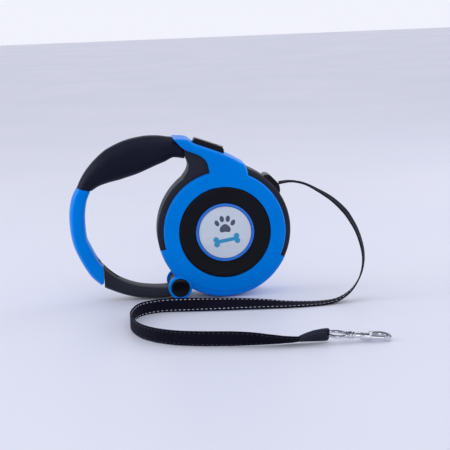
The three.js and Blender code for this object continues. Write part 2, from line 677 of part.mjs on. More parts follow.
function hookBody() {
  const foot = RING_EYE_R + 3.6 + GAP;
  const headTop = RING_EYE_R - RING_WIRE_R - 2 * GAP;
  const curve = new THREE.CatmullRomCurve3([
    [20.5, 0.6], [24, 3.9], [28, 6.6], [32.6, 6.9], [36.2, 4.4], [37.4, 0.4], [36.2, -3.6],
  ].map(([x, y]) => new THREE.Vector3(x, y, 0)));
  const section = new THREE.Shape();
  section.absarc(0, 0, HOOK_WIRE_R, 0, 2 * Math.PI);
  const loop = solid(new THREE.ExtrudeGeometry(section, {
    steps: 14,
    curveSegments: 8,
    extrudePath: curve,
    bevelEnabled: false,
  }));
  const body = join(
    rod(2, headTop - 1.2, headTop),
    rod(POST_R, headTop - 0.5, foot + 1),
    rod(2.5, foot, foot + 2.2),
    rod(1.9, foot + 2, BARREL_FROM + 0.6),
    rod(BARREL_R, BARREL_FROM, BARREL_END, [BOLT_Y / 2, 0]),
    loop,
  );
  return cut(
    body,
    rod(BOLT_R + RUN, BARREL_FROM + 1.2, MOUTH_END, [BOLT_Y, 0]),
    block(7.4, 2.4, 6, [BARREL_END - 2.6, BOLT_Y, 3]),
  );
}

function hookBolt() {
  const heel = BARREL_END - 1.9;
  return join(rod(BOLT_R, heel, MOUTH_END - GAP, [BOLT_Y, 0]), block(1.8, 1.8, 4.2, [heel + 1, BOLT_Y, 2.1]));
}

// ---- assembly ----
const BLUE = { color: 0x056dd0, roughness: 0.35, metalness: 0 };
const BLACK = { color: 0x262c3a, roughness: 0.5, metalness: 0 };
const SOFT = { color: 0x15171f, roughness: 0.75, metalness: 0 };
const GLOSS = { color: 0x120f1c, roughness: 0.25, metalness: 0 };
const STEEL = { color: 0xb9bcc4, roughness: 0.3, metalness: 1 };
const WHITE = { color: 0xdfe6ee, roughness: 0.4, metalness: 0 };
const WEBBING = { color: 0x0a0a1c, roughness: 0.9, metalness: 0 };
const NYLON = { color: 0xd8d6cc, roughness: 0.6, metalness: 0 };

function piece(name, body, look) {
  const mesh = new THREE.Mesh(geometryOf(body), new THREE.MeshStandardMaterial(look));
  mesh.name = name;
  return mesh;
}

const mirrored = (body) => body.mirror([0, 1, 0]);

function moved(mesh, x, y, z) {
  mesh.position.set(x, y, z);
  return mesh;
}

const CASE = new THREE.Group();
CASE.position.set(CASE_X, 0, CASE_Z);
CASE.add(
  piece("front_casing", casingHalf(-1), BLACK),
  piece("back_casing", casingHalf(1), BLACK),
  piece("front_cover", cover(-1), BLUE),
  piece("back_cover", cover(1), BLUE),
  piece("front_side_disc", sideDisc(), GLOSS),
  piece("back_side_disc", mirrored(sideDisc()), GLOSS),
  piece("front_badge_ring", badgeRing(), BLUE),
  piece("back_badge_ring", mirrored(badgeRing()), BLUE),
  piece("front_badge", badge(), WHITE),
  piece("back_badge", mirrored(badge()), WHITE),
  piece("grip", grip(), SOFT),
  piece("bow", bow(), BLUE),
  piece("bow_pin", disc(BOW_PIN_R, -BOW_PIN_HALF, BOW_PIN_HALF, BOW_PIN, 12), STEEL),
  piece("nozzle_guide", nozzleGuide(), BLACK),
  piece("tape_lead", tapeLead(), WEBBING),
  piece("spindle", disc(SPINDLE_R, -CASE_HALF + 1.5, CASE_HALF - 1.5, [0, 0], 24), STEEL),
  piece("gate_pin", disc(PIN_R, GAP - 15.2, 15.2 - GAP, PIVOT, 24), STEEL),
  piece("front_pivot_cap", pivotCap(), GLOSS),
  piece("back_pivot_cap", mirrored(pivotCap()), GLOSS),
  piece("gate_arm", gateArm(), BLACK),
  piece("gate_catch", plate(CATCH, -CATCH_HALF, CATCH_HALF, 0.4), GLOSS),
  piece("reel", reel(), NYLON),
  piece("hub_bush", tube(SPINDLE_R + RUN, SPINDLE_R + 2.4 - GAP, -7.5, -6, [0, 0], 24), STEEL),
  piece("power_spring", powerSpring(), STEEL),
  piece("spring_cover", tube(SPINDLE_R + 0.6, HUB_R - HUB_WALL - GAP, 6.1, 7.5), NYLON),
  piece("wound_tape", tube(HUB_R + GAP, PACK_R, -TAPE_W / 2, TAPE_W / 2), WEBBING),
);

CASE_SCREWS.forEach((at, i) => {
  const screw = join(
    disc(SCREW_R, -8, CASE_HALF - 1, at, 16),
    disc(SCREW_HEAD_R, CASE_HALF - 2 + GAP, CASE_HALF - 0.2, at, 16),
  );
  CASE.add(piece(`case_screw_${i + 1}`, screw, STEEL));
});

function pivotCap() {
  const low = -COVER_FACE;
  return turned([
    [0, low + 2.5], [0, low - 0.5], [CAP_R - 1.6, low - 0.4], [CAP_R - 0.4, low + 0.2], [CAP_R, low + 0.9],
    [CAP_R, low + 2.5],
  ], PIVOT, 32);
}

const BRAKE = new THREE.Group();
BRAKE.position.set(BUTTON_AT[0], 0, BUTTON_AT[1]);
BRAKE.rotation.y = -BUTTON_TILT;
BRAKE.add(
  piece("brake_button", brakeButton(), GLOSS),
  piece("brake_pawl", brakePawl(), STEEL),
  piece("brake_lock", brakeLock(), STEEL),
  moved(piece("brake_spring", coilSpring(1.9, 0.3, 2.6, 2), STEEL), -6, 0, -10.2),
);
CASE.add(BRAKE);

const HOOK = new THREE.Group();
HOOK.position.set(...HOOK_AT);
HOOK.rotation.set(0, HOOK_SLOPE, HOOK_HEADING, "ZYX");
HOOK.add(
  piece("swivel_eye", swivelEye(), STEEL),
  piece("hook_body", hookBody(), STEEL),
  piece("hook_bolt", hookBolt(), STEEL),
);

// The sleeve is pierced by the swivel ring, with clearance.
function tapeSleeve() {
  const ring = join(swivelRing(RING_WIRE_R + GAP), swivelRing(0.5));
  const placed = ring
    .rotate([0, THREE.MathUtils.radToDeg(HOOK_SLOPE), 0])
    .rotate([0, 0, THREE.MathUtils.radToDeg(HOOK_HEADING)])
    .translate(HOOK_AT);
  return cut(loft(flatRings(SLEEVE_ROUTE, 12)), placed);
}

const root = new THREE.Group();
const LAID = new THREE.Group();
LAID.position.x = ROUTE_SHIFT;
LAID.add(HOOK, piece("free_tape", freeTape(), WEBBING), piece("tape_sleeve", tapeSleeve(), SOFT));
root.add(CASE, LAID);

export default root;
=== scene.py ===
# %% [markdown]
# # A retractable leash
# This notebook dresses a measured model of a retractable dog leash. The model comes in as a frame:
# every CAD node stands in its real place, in metres, with +Z up and the front towards -Y.
# The frame gives the sizes and the bodies that move. This script gives the looks: smooth moulded
# shells, soft rubber, woven tape with its stitching, a leather sleeve and a chrome snap hook.

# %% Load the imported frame
import math
import bpy
import bmesh
from mathutils import Matrix, Vector


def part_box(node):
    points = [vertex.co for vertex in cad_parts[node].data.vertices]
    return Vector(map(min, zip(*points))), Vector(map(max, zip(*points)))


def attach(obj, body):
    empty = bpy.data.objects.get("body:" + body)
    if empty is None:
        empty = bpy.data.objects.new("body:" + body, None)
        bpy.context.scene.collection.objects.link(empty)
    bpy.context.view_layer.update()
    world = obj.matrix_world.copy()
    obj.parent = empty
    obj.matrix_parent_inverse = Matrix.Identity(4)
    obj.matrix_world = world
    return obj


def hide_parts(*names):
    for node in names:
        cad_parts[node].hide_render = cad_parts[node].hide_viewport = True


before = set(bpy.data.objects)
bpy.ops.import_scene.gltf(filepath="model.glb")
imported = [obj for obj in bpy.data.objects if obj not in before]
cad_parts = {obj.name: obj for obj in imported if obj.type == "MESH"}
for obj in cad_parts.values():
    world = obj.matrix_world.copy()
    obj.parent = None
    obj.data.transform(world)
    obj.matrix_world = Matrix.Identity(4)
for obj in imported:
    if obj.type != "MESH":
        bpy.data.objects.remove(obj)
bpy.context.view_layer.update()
MM = 0.001
side_low, side_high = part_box("front_side_disc")
REEL = Vector(((side_low.x + side_high.x) / 2, 0, (side_low.z + side_high.z) / 2))
print("reel axis, mm:", [round(v / MM, 2) for v in REEL])

# %% [markdown]
# ## The camera
# A product picture like this is taken with a long lens from about a metre, a little above the table.
# The long lens keeps both side faces nearly round. The camera is built from three directions, right,
# up and back, because a small roll is easier to state that way than with three turning angles.

# %% The camera
CAMERA_DISTANCE = 1.0
CAMERA_ELEVATION = math.radians(10.5)
CAMERA_AZIMUTH = math.radians(-5.3)
CAMERA_ROLL = math.radians(2.2)
FOCAL_RATIO = 2.651111          # focal length over the width of the sensor
AIM = Vector((0.036, 0, 0.0555))
AIM_OFF_CENTRE = (-0.0013412, 0.0029338)    # sideways and up, as shares of the distance

level = math.cos(CAMERA_ELEVATION)
back = Vector((math.sin(CAMERA_AZIMUTH) * level, -math.cos(CAMERA_AZIMUTH) * level,
               math.sin(CAMERA_ELEVATION)))
flat_right = Vector((math.cos(CAMERA_AZIMUTH), math.sin(CAMERA_AZIMUTH), 0))
right = flat_right * math.cos(CAMERA_ROLL) - back.cross(flat_right) * math.sin(CAMERA_ROLL)
up = back.cross(right)
spot = AIM + CAMERA_DISTANCE * (back - right * AIM_OFF_CENTRE[0] + up * AIM_OFF_CENTRE[1])

lens = bpy.data.cameras.new("camera")
lens.lens = lens.sensor_width * FOCAL_RATIO
camera = bpy.data.objects.new("camera", lens)
camera.matrix_world = Matrix((right, up, back)).transposed().to_4x4()
camera.location = spot
bpy.context.scene.collection.objects.link(camera)
bpy.context.scene.camera = camera
print("lens, mm:", round(lens.lens, 1), "camera at, m:", [round(v, 3) for v in spot])

# %% [markdown]
# ## Building blocks
# Moulded plastic is drawn as outlines that are turned or pressed. The same few helpers make every
# rigid piece: `turned` spins a profile about the reel's direction, `plate` gives an outline a
# thickness with rounded rims, and `carve` joins or cuts them. Sizes are in millimetres from the
# reel's axis, and a piece's points are put in place in its mesh, so each object stays at the origin.
# Subdivision surfaces would be the other way to soft shapes, but they blur the exact circles here.

# %% Outlines with rounded corners
ROUND = 160                     # sides of a large circle


def soften(points, steps=5, closed=True):
    """Rounds each corner (x, z, reach) of an outline with a small curve that starts reach before it."""
    smooth = []
    for i, point in enumerate(points):
        here = Vector(point[:2])
        reach = point[2] if len(point) > 2 else 0
        at_end = not closed and i in (0, len(points) - 1)
        if not reach or at_end:
            smooth.append(here)
            continue
        before = Vector(points[i - 1][:2]) - here
        after = Vector(points[(i + 1) % len(points)][:2]) - here
        start = here + before.normalized() * min(reach, before.length / 2)
        end = here + after.normalized() * min(reach, after.length / 2)
        for k in range(steps + 1):
            t = k / steps
            smooth.append((1 - t) ** 2 * start + 2 * t * (1 - t) * here + t * t * end)
    kept = [smooth[0]]
    for p in smooth[1:]:
        if (p - kept[-1]).length > 0.01:
            kept.append(p)
    if closed and (kept[0] - kept[-1]).length < 0.01:
        kept.pop()
    return [tuple(p) for p in kept]


def grown(points, by):
    """A closed outline moved outwards by a distance, corner by corner."""
    count = len(points)
    area = sum(points[i - 1][0] * points[i][1] - points[i][0] * points[i - 1][1] for i in range(count))
    side = 1 if area > 0 else -1
    moved = []
    for i in range(count):
        a, b, c = Vector(points[i - 1]), Vector(points[i]), Vector(points[(i + 1) % count])
        d1, d2 = (b - a).normalized(), (c - b).normalized()
        n1, n2 = Vector((d1.y, -d1.x)) * side, Vector((d2.y, -d2.x)) * side
        middle = (n1 + n2).normalized()
        moved.append(tuple(b + middle * by / max(middle.dot(n1), 0.4)))
    return moved


# %% Meshes from points and faces
def made(name, points, faces, origin=REEL):
    """A closed mesh object from points in millimetres round an origin."""
    mesh = bpy.data.meshes.new(name)
    mesh.from_pydata([origin + Vector(p) * MM for p in points], [], faces)
    shape = bmesh.new()
    shape.from_mesh(mesh)
    bmesh.ops.remove_doubles(shape, verts=shape.verts, dist=2e-6)
    bmesh.ops.recalc_face_normals(shape, faces=shape.faces)
    shape.to_mesh(mesh)
    shape.free()
    piece = bpy.data.objects.new(name, mesh)
    bpy.context.scene.collection.objects.link(piece)
    return piece


def lathe(profile, at, sides):
    """Spins a closed profile of (radius, along) about a line at (u, v): points (u, along, v), and faces."""
    count = len(profile)
    points, faces = [], []
    for i in range(sides):
        turn = 2 * math.pi * i / sides
        points += [(at[0] + r * math.cos(turn), along, at[1] + r * math.sin(turn)) for r, along in profile]
        j = (i + 1) % sides
        for k in range(count):
            m = (k + 1) % count
            if profile[k][0] or profile[m][0]:
                faces.append((i * count + k, i * count + m, j * count + m, j * count + k))
    return points, faces


def lofted(rings, count, caps_last=False):
    """The faces of a loft: a cap on each end, and strips between rings of count points each."""
    caps = [tuple(range(count)), tuple(reversed(range((rings - 1) * count, rings * count)))]
    strips = []
    for low in range(0, (rings - 1) * count, count):
        high = low + count
        strips += [(low + i, low + (i + 1) % count, high + (i + 1) % count, high + i) for i in range(count)]
    return strips + caps if caps_last else caps + strips


def turned(name, profile, at=(0, 0), sides=ROUND):
    """Spins a closed profile of (radius, y) about the direction of y through (x, z)."""
    return made(name, *lathe(profile, at, sides))


def disc(radius, low, high, at=(0, 0), sides=64):
    return turned("disc", [(0, low), (radius, low), (radius, high), (0, high)], at, sides)


def plate(name, outline, low, high, rim=0.0, steps=4):
    """An outline in x and z as a plate from y = low to y = high, with its rims rounded."""
    rings = []
    turns = steps if rim else 0
    for k in range(turns + 1):
        turn = math.pi / 2 * k / max(turns, 1)
        inset = rim * (1 - math.sin(turn))
        rings.append((low + rim * (1 - math.cos(turn)), inset))
    rings += [(low + high - y, inset) for y, inset in reversed(rings)]
    points = []
    for y, inset in rings:
        ring = grown(outline, -inset) if inset > 1e-6 else outline
        points += [(x, y, z) for x, z in ring]
    return made(name, points, lofted(len(rings), len(outline)))


# %% Joining, cutting and shading
def settle(piece):
    """Turns the piece's modifiers into plain mesh."""
    graph = bpy.context.evaluated_depsgraph_get()
    graph.update()
    fresh = bpy.data.meshes.new_from_object(piece.evaluated_get(graph))
    old = piece.data
    piece.modifiers.clear()
    piece.data = fresh
    bpy.data.meshes.remove(old)
    return piece


def carve(piece, operation, *tools):
    """Joins (UNION), cuts (DIFFERENCE) or keeps the common part (INTERSECT), then drops the tools."""
    for tool in tools:
        step = piece.modifiers.new("carve", "BOOLEAN")
        step.operation = operation
        step.solver = "MANIFOLD"
        step.object = tool
    settle(piece)
    for tool in tools:
        mesh = tool.data
        bpy.data.objects.remove(tool)
        bpy.data.meshes.remove(mesh)
    return piece


def mirrored(piece, name):
    """The same piece on the other side of the middle plane."""
    twin = bpy.data.objects.new(name, piece.data.copy())
    bpy.context.scene.collection.objects.link(twin)
    for v in twin.data.vertices:
        v.co.y = -v.co.y
    twin.data.flip_normals()
    return twin


def shade(piece, angle=32):
    """Smooth shading with creases where faces meet at more than an angle in degrees."""
    piece.data.shade_smooth()
    piece.data.set_sharp_from_angle(angle=math.radians(angle))
    return piece


def ease_edges(piece, width=0.25, angle=40):
    """A small radius on the edges that the cuts left sharp, as every mould has."""
    step = piece.modifiers.new("ease", "BEVEL")
    step.width = width * MM
    step.segments = 2
    step.limit_method = "ANGLE"
    step.angle_limit = math.radians(angle)
    step.use_clamp_overlap = True
    return settle(piece)


def triangles(piece):
    return sum(len(p.vertices) - 2 for p in piece.data.polygons)


# %% Curves through stations
def spline_at(stations, t):
    """A point of a smooth curve through stations of any number of values, t from 0 to 1."""
    last = len(stations) - 1
    k = min(int(t * last), last - 1)
    w = t * last - k
    p1, p2 = Vector(stations[k]), Vector(stations[k + 1])
    p0 = Vector(stations[k - 1]) if k else 2 * p1 - p2
    p3 = Vector(stations[k + 2]) if k + 2 <= last else 2 * p2 - p1
    gap = [max((b - a).length ** 0.5, 1e-3) for a, b in ((p0, p1), (p1, p2), (p2, p3))]
    lead = ((p1 - p0) / gap[0] - (p2 - p0) / (gap[0] + gap[1]) + (p2 - p1) / gap[1]) * gap[1]
    tail = ((p2 - p1) / gap[1] - (p3 - p1) / (gap[1] + gap[2]) + (p3 - p2) / gap[2]) * gap[1]
    return (p1 + lead * w + (3 * (p2 - p1) - 2 * lead - tail) * w * w
            + (2 * (p1 - p2) + lead + tail) * w ** 3)


def heading_at(stations, t):
    step = 1e-4
    a = spline_at(stations, max(t - step, 0))
    b = spline_at(stations, min(t + step, 1))
    return (b - a).normalized()


def mixed(stations, column, t):
    """A column of the stations, blended evenly between them."""
    last = len(stations) - 1
    k = min(int(t * last), last - 1)
    w = t * last - k
    return stations[k][column] * (1 - w) + stations[k + 1][column] * w


def bar(name, stations, section, steps=90, flip=False):
    """A bar along stations (x, z, half width, half thickness), with a section in units of those halves."""
    outline = soften(section, 5)
    points = []
    middle = [(x, 0, z) for x, z, _, _ in stations]
    for i in range(steps + 1):
        t = i / steps
        centre, ahead = spline_at(middle, t), heading_at(middle, t)
        sizes = spline_at([(s[2], s[3], 0) for s in stations], t)
        across = Vector((-ahead.z, 0, ahead.x)) * (-1 if flip else 1)
        points += [centre + across * u * sizes.x + Vector((0, v * sizes.y, 0)) for u, v in outline]
    return made(name, points, lofted(steps + 1, len(outline)))

# %% [markdown]
# ## Finishes
# A real finish is never one flat colour. Moulded plastic has a fine spark texture, patches that hands
# have polished, hairline scuffs, and paler edges where it has been knocked. Each of those effects is a
# small node group, built once, which puts out a mask or a height. A material then mixes its own colours
# with them. Image textures could hold the same detail, but nodes stay sharp at any distance.

# %% Node helpers
def node(tree, kind, wires=None, **settings):
    """A new node with its settings, and its inputs either wired to a socket or set to a value."""
    fresh = tree.nodes.new(kind)
    for key, value in settings.items():
        setattr(fresh, key, value)
    for label, value in (wires or {}).items():
        if isinstance(value, bpy.types.NodeSocket):
            tree.links.new(value, fresh.inputs[label])
        else:
            fresh.inputs[label].default_value = value
    return fresh


def sums(tree, operation, *values, clamp=False):
    """A Math node's result for two or three values."""
    wires = dict(enumerate(values))
    return node(tree, "ShaderNodeMath", wires, operation=operation, use_clamp=clamp).outputs[0]


def effect(name, inputs, outputs):
    """An empty shader group with its input and output nodes."""
    tree = bpy.data.node_groups.new(name, "ShaderNodeTree")
    number = "NodeSocketFloat"
    for label, value in inputs.items():
        tree.interface.new_socket(name=label, in_out="INPUT", socket_type=number).default_value = value
    for label in outputs:
        tree.interface.new_socket(name=label, in_out="OUTPUT", socket_type=number)
    return tree, tree.nodes.new("NodeGroupInput").outputs, tree.nodes.new("NodeGroupOutput").inputs


def from_srgb(*channels):
    """Screen values 0 to 255 as a linear colour."""
    return tuple((c / 255 / 12.92) if c < 11 else ((c / 255 + 0.055) / 1.055) ** 2.4 for c in channels) + (1,)


# %% Effect: knocked edges
def knocked_edges():
    """Wear is 1 on the edges of a piece, broken up by noise."""
    tree, given, out = effect("knocked_edges", {"Width": 0.0006, "Gain": 5.0, "Break Up": 260.0}, ["Wear"])
    place = node(tree, "ShaderNodeTexCoord").outputs["Object"]
    rounded = node(tree, "ShaderNodeBevel", {"Radius": given["Width"]}, samples=6)
    facing = node(tree, "ShaderNodeNewGeometry").outputs["Normal"]
    match = node(tree, "ShaderNodeVectorMath", {0: rounded.outputs[0], 1: facing}, operation="DOT_PRODUCT")
    apart = sums(tree, "SUBTRACT", 1.0, match.outputs["Value"])
    edge = sums(tree, "MULTIPLY", apart, given["Gain"], clamp=True)
    noise = node(tree, "ShaderNodeTexNoise", {"Vector": place, "Scale": given["Break Up"], "Detail": 4.0})
    patchy = node(tree, "ShaderNodeMapRange", {"Value": noise.outputs[0], "From Min": 0.42, "From Max": 0.62})
    tree.links.new(sums(tree, "MULTIPLY", edge, patchy.outputs[0]), out["Wear"])
    return tree


# %% Effect: moulded skin
def moulded_skin():
    """Height is the spark texture of the mould, Patch slow changes, and Scuff hairline marks."""
    tree, given, out = effect(
        "moulded_skin", {"Grain": 2600.0, "Patch Scale": 28.0}, ["Height", "Patch", "Scuff"])
    place = node(tree, "ShaderNodeTexCoord").outputs["Object"]
    fine = node(tree, "ShaderNodeTexNoise", {"Vector": place, "Scale": given["Grain"], "Detail": 2.0})
    slow = node(tree, "ShaderNodeTexNoise", {"Vector": place, "Scale": given["Patch Scale"], "Detail": 3.0})
    turn = node(tree, "ShaderNodeMapping", {
        "Vector": place, "Rotation": (0.2, 0.7, 0.4), "Scale": (30, 700, 900)})
    hair = node(tree, "ShaderNodeTexNoise", {"Vector": turn.outputs[0], "Scale": 1.0, "Detail": 1.0})
    thin = node(tree, "ShaderNodeMapRange", {"Value": hair.outputs[0], "From Min": 0.69, "From Max": 0.74})
    rare = node(tree, "ShaderNodeMapRange", {"Value": slow.outputs[0], "From Min": 0.5, "From Max": 0.6})
    tree.links.new(fine.outputs[0], out["Height"])
    tree.links.new(slow.outputs[0], out["Patch"])
    tree.links.new(sums(tree, "MULTIPLY", thin.outputs[0], rare.outputs[0]), out["Scuff"])
    return tree


# %% Effect: woven tape
def tape_weave():
    """Reads the tape's own map, across and along in millimetres: Height is the crossing yarns."""
    tree, given, out = effect("tape_weave", {"Across": 0.62, "Along": 0.8}, ["Height", "Yarn"])
    where = node(tree, "ShaderNodeSeparateXYZ", {0: node(tree, "ShaderNodeUVMap", uv_map="tape").outputs[0]})
    two_pi = 2 * math.pi
    u = sums(tree, "MULTIPLY", sums(tree, "DIVIDE", where.outputs[0], given["Across"]), two_pi)
    v = sums(tree, "MULTIPLY", sums(tree, "DIVIDE", where.outputs[1], given["Along"]), two_pi)
    cross = sums(tree, "MULTIPLY", sums(tree, "SINE", u), sums(tree, "SINE", v))
    high = sums(tree, "MULTIPLY_ADD", cross, 0.5, 0.5)
    fuzz = node(tree, "ShaderNodeTexNoise", {
        "Vector": node(tree, "ShaderNodeTexCoord").outputs["Object"], "Scale": 1500.0, "Detail": 3.0})
    tree.links.new(sums(tree, "MULTIPLY_ADD", fuzz.outputs[0], 0.35, high), out["Height"])
    tree.links.new(sums(tree, "MULTIPLY", high, fuzz.outputs[0]), out["Yarn"])
    return tree


# %% Effect: leather grain
def leather_grain():
    """Pebbles of two sizes with creases between them."""
    tree, given, out = effect("leather_grain", {"Pebble": 1300.0}, ["Height", "Crease"])
    place = node(tree, "ShaderNodeTexCoord").outputs["Object"]
    bend = node(tree, "ShaderNodeTexNoise", {"Vector": place, "Scale": 300.0})
    moved = node(
        tree, "ShaderNodeVectorMath", {0: bend.outputs["Color"], 1: (0.0008,) * 3}, operation="MULTIPLY")
    shifted = node(tree, "ShaderNodeVectorMath", {0: place, 1: moved.outputs[0]}, operation="ADD")
    cells = node(tree, "ShaderNodeTexVoronoi", {"Vector": shifted.outputs[0], "Scale": given["Pebble"]})
    dome = sums(tree, "SUBTRACT", 1.0, cells.outputs["Distance"])
    crease_shade = node(tree, "ShaderNodeMapRange", {
        "Value": cells.outputs["Distance"], "From Min": 0.45, "From Max": 0.8})
    tree.links.new(dome, out["Height"])
    tree.links.new(crease_shade.outputs[0], out["Crease"])
    return tree


EDGES, SKIN, WEAVE, LEATHER = knocked_edges(), moulded_skin(), tape_weave(), leather_grain()
print("effects:", ", ".join(tree.name for tree in (EDGES, SKIN, WEAVE, LEATHER)))


# %% Materials from the effects
def started(name, **plain):
    """A material, its tree and its Principled shader with plain values on the shader's own sockets."""
    material = bpy.data.materials.new(name)
    material.use_nodes = True
    shader = material.node_tree.nodes["Principled BSDF"]
    for label, value in plain.items():
        shader.inputs[label.replace("_", " ").title().replace("Ior", "IOR")].default_value = value
    return material, material.node_tree, shader.inputs


def use(tree, group, **values):
    """An effect placed in a material with that material's own values."""
    placed = node(tree, "ShaderNodeGroup", node_tree=group)
    for label, value in values.items():
        placed.inputs[label.replace("_", " ").title()].default_value = value
    return placed.outputs


def blended(tree, factor, base, other):
    """Two colours mixed by a mask."""
    mix = node(tree, "ShaderNodeMix", data_type="RGBA")
    colours = [s for s in mix.inputs if s.type == "RGBA"]
    tree.links.new(factor, mix.inputs[0])
    for socket, value in zip(colours, (base, other)):
        if isinstance(value, bpy.types.NodeSocket):
            tree.links.new(value, socket)
        else:
            socket.default_value = value
    return [s for s in mix.outputs if s.type == "RGBA"][0]


def between(tree, value, low, high, start=0.3, end=0.7):
    """A mask stretched to a range."""
    return node(tree, "ShaderNodeMapRange", {
        "Value": value, "From Min": start, "From Max": end, "To Min": low, "To Max": high}).outputs[0]


def raised(tree, height, depth, strength=1.0):
    """A bump of a depth in metres."""
    return node(tree, "ShaderNodeBump", {
        "Height": height, "Distance": depth, "Strength": strength}).outputs[0]


def plastic(name, colour, shade_to, worn, rough, grain_depth=0.00002, grain=2600.0, wear=0.5, **plain):
    """Moulded plastic: slow colour changes, pale knocked edges, scuffs, and a spark texture."""
    material, tree, shader = started(name, **plain)
    skin = use(tree, SKIN, grain=grain)
    edge = use(tree, EDGES)["Wear"]
    tone = blended(tree, between(tree, skin["Patch"], 0, 1), colour, shade_to)
    tone = blended(tree, sums(tree, "MULTIPLY", edge, wear), tone, worn)
    tone = blended(tree, sums(tree, "MULTIPLY", skin["Scuff"], 0.35), tone, worn)
    tree.links.new(tone, shader["Base Color"])
    dull = sums(tree, "ADD", between(tree, skin["Patch"], rough[0], rough[1]),
                sums(tree, "MULTIPLY", sums(tree, "ADD", edge, skin["Scuff"]), 0.15), clamp=True)
    tree.links.new(dull, shader["Roughness"])
    tree.links.new(raised(tree, skin["Height"], grain_depth), shader["Normal"])
    return material


# %% Plastics and rubber
BLUE = plastic(
    "blue_shell", from_srgb(0, 130, 232), from_srgb(0, 122, 222), from_srgb(40, 165, 245), (0.34, 0.44),
    grain_depth=0.000006, wear=0.35, specular_ior_level=0.2, specular_tint=(0, 0.7, 1, 1))
CHARCOAL = plastic(
    "charcoal_shell", from_srgb(38, 40, 52), from_srgb(32, 35, 48), from_srgb(90, 93, 106), (0.42, 0.55),
    grain_depth=0.00003, wear=0.3, specular_ior_level=0.14)
GRIP_RUBBER = plastic(
    "grip_rubber", from_srgb(22, 23, 42), from_srgb(17, 19, 37), from_srgb(58, 60, 84), (0.5, 0.64),
    grain_depth=0.00006, grain=1700.0, wear=0.2, specular_ior_level=0.1, sheen_weight=0.02,
    sheen_roughness=0.5)
GLOSS_BLACK = plastic(
    "gloss_black", from_srgb(10, 9, 20), from_srgb(7, 6, 16), from_srgb(50, 50, 66), (0.22, 0.32),
    grain_depth=0.000003, wear=0.15, specular_ior_level=0.12, coat_weight=0.08, coat_roughness=0.06)
DISC_BLACK = plastic(
    "disc_black", from_srgb(13, 11, 21), from_srgb(10, 10, 21), from_srgb(44, 44, 60), (0.3, 0.42),
    grain_depth=0.00001, wear=0.15, specular_ior_level=0.12)
BEZEL_BLUE = plastic(
    "bezel_blue", from_srgb(20, 120, 225), from_srgb(16, 112, 215), from_srgb(120, 190, 245), (0.14, 0.22),
    grain_depth=0.000003, wear=0.3, specular_ior_level=0.3, coat_weight=0.2, coat_roughness=0.05)
BADGE_WHITE = plastic(
    "badge_white", from_srgb(212, 221, 232), from_srgb(198, 210, 224), from_srgb(236, 240, 246), (0.25, 0.36),
    grain_depth=0.000004, wear=0.2, coat_weight=0.6, coat_roughness=0.08)
EMBLEM_SLATE = plastic(
    "emblem_slate", from_srgb(72, 80, 104), from_srgb(62, 70, 96), from_srgb(120, 128, 150), (0.35, 0.45),
    grain_depth=0.000004, wear=0.2)
EMBLEM_AQUA = plastic(
    "emblem_aqua", from_srgb(38, 152, 200), from_srgb(30, 138, 192), from_srgb(120, 196, 226), (0.35, 0.45),
    grain_depth=0.000004, wear=0.2)
NYLON = plastic(
    "reel_nylon", from_srgb(206, 200, 186), from_srgb(192, 187, 174), from_srgb(226, 222, 210), (0.45, 0.6),
    grain_depth=0.00002, wear=0.3, subsurface_weight=0.1)
print("plastics ready")


# %% Metals
# Painted reflection: the near-black colour laid on up-facing metal in place of dark reflections.
PAINTED_DARK_REFLECTION = (0.03, 0.03, 0.05, 1)


def metal(name, colour, tarnish, rough, brushed=0.0, painted_reflection_dark=0.0):
    """Plated or bare metal: slow tarnish, hairlines, brighter edges, and a painted dark reflection on what
    faces up.
    """
    material, tree, shader = started(name, metallic=1.0)
    skin = use(tree, SKIN, grain=5200.0, patch_scale=160.0)
    edge = use(tree, EDGES, width=0.0003)["Wear"]
    tone = blended(tree, between(tree, skin["Patch"], 0, 1), colour, tarnish)
    tone = blended(tree, edge, tone, colour)
    # Painted reflection: faces that point up are darkened towards near black, standing in for dark
    # reflections in the plating.
    facing = node(tree, "ShaderNodeNewGeometry").outputs["Normal"]
    slope = node(tree, "ShaderNodeSeparateXYZ", {0: facing}).outputs[2]
    painted_reflection_mask = between(tree, slope, 0, painted_reflection_dark, 0.1, 0.62)
    patchy = between(tree, skin["Patch"], 0.75, 1.0)
    tone = blended(tree, sums(tree, "MULTIPLY", painted_reflection_mask, patchy), tone, PAINTED_DARK_REFLECTION)
    tree.links.new(tone, shader["Base Color"])
    dull = sums(tree, "ADD", between(tree, skin["Patch"], rough[0], rough[1]),
                sums(tree, "MULTIPLY", skin["Scuff"], 0.25), clamp=True)
    tree.links.new(dull, shader["Roughness"])
    tree.links.new(raised(tree, skin["Height"], 0.000002 + brushed), shader["Normal"])
    return material


# The chrome takes a strong painted dark reflection on its up-facing sides.
CHROME = metal("hook_chrome", (0.9, 0.91, 0.94, 1), (0.62, 0.63, 0.68, 1), (0.05, 0.16), painted_reflection_dark=0.97)
STEEL = metal("zinc_steel", (0.56, 0.57, 0.6, 1), (0.42, 0.43, 0.46, 1), (0.25, 0.4), brushed=0.000006)
SPRING_STEEL = metal(
    "spring_steel", (0.3, 0.31, 0.35, 1), (0.2, 0.22, 0.28, 1), (0.28, 0.42), brushed=0.000006)
BRONZE = metal("sintered_bronze", (0.55, 0.37, 0.18, 1), (0.38, 0.25, 0.13, 1), (0.4, 0.55), brushed=0.00002)
print("metals ready")


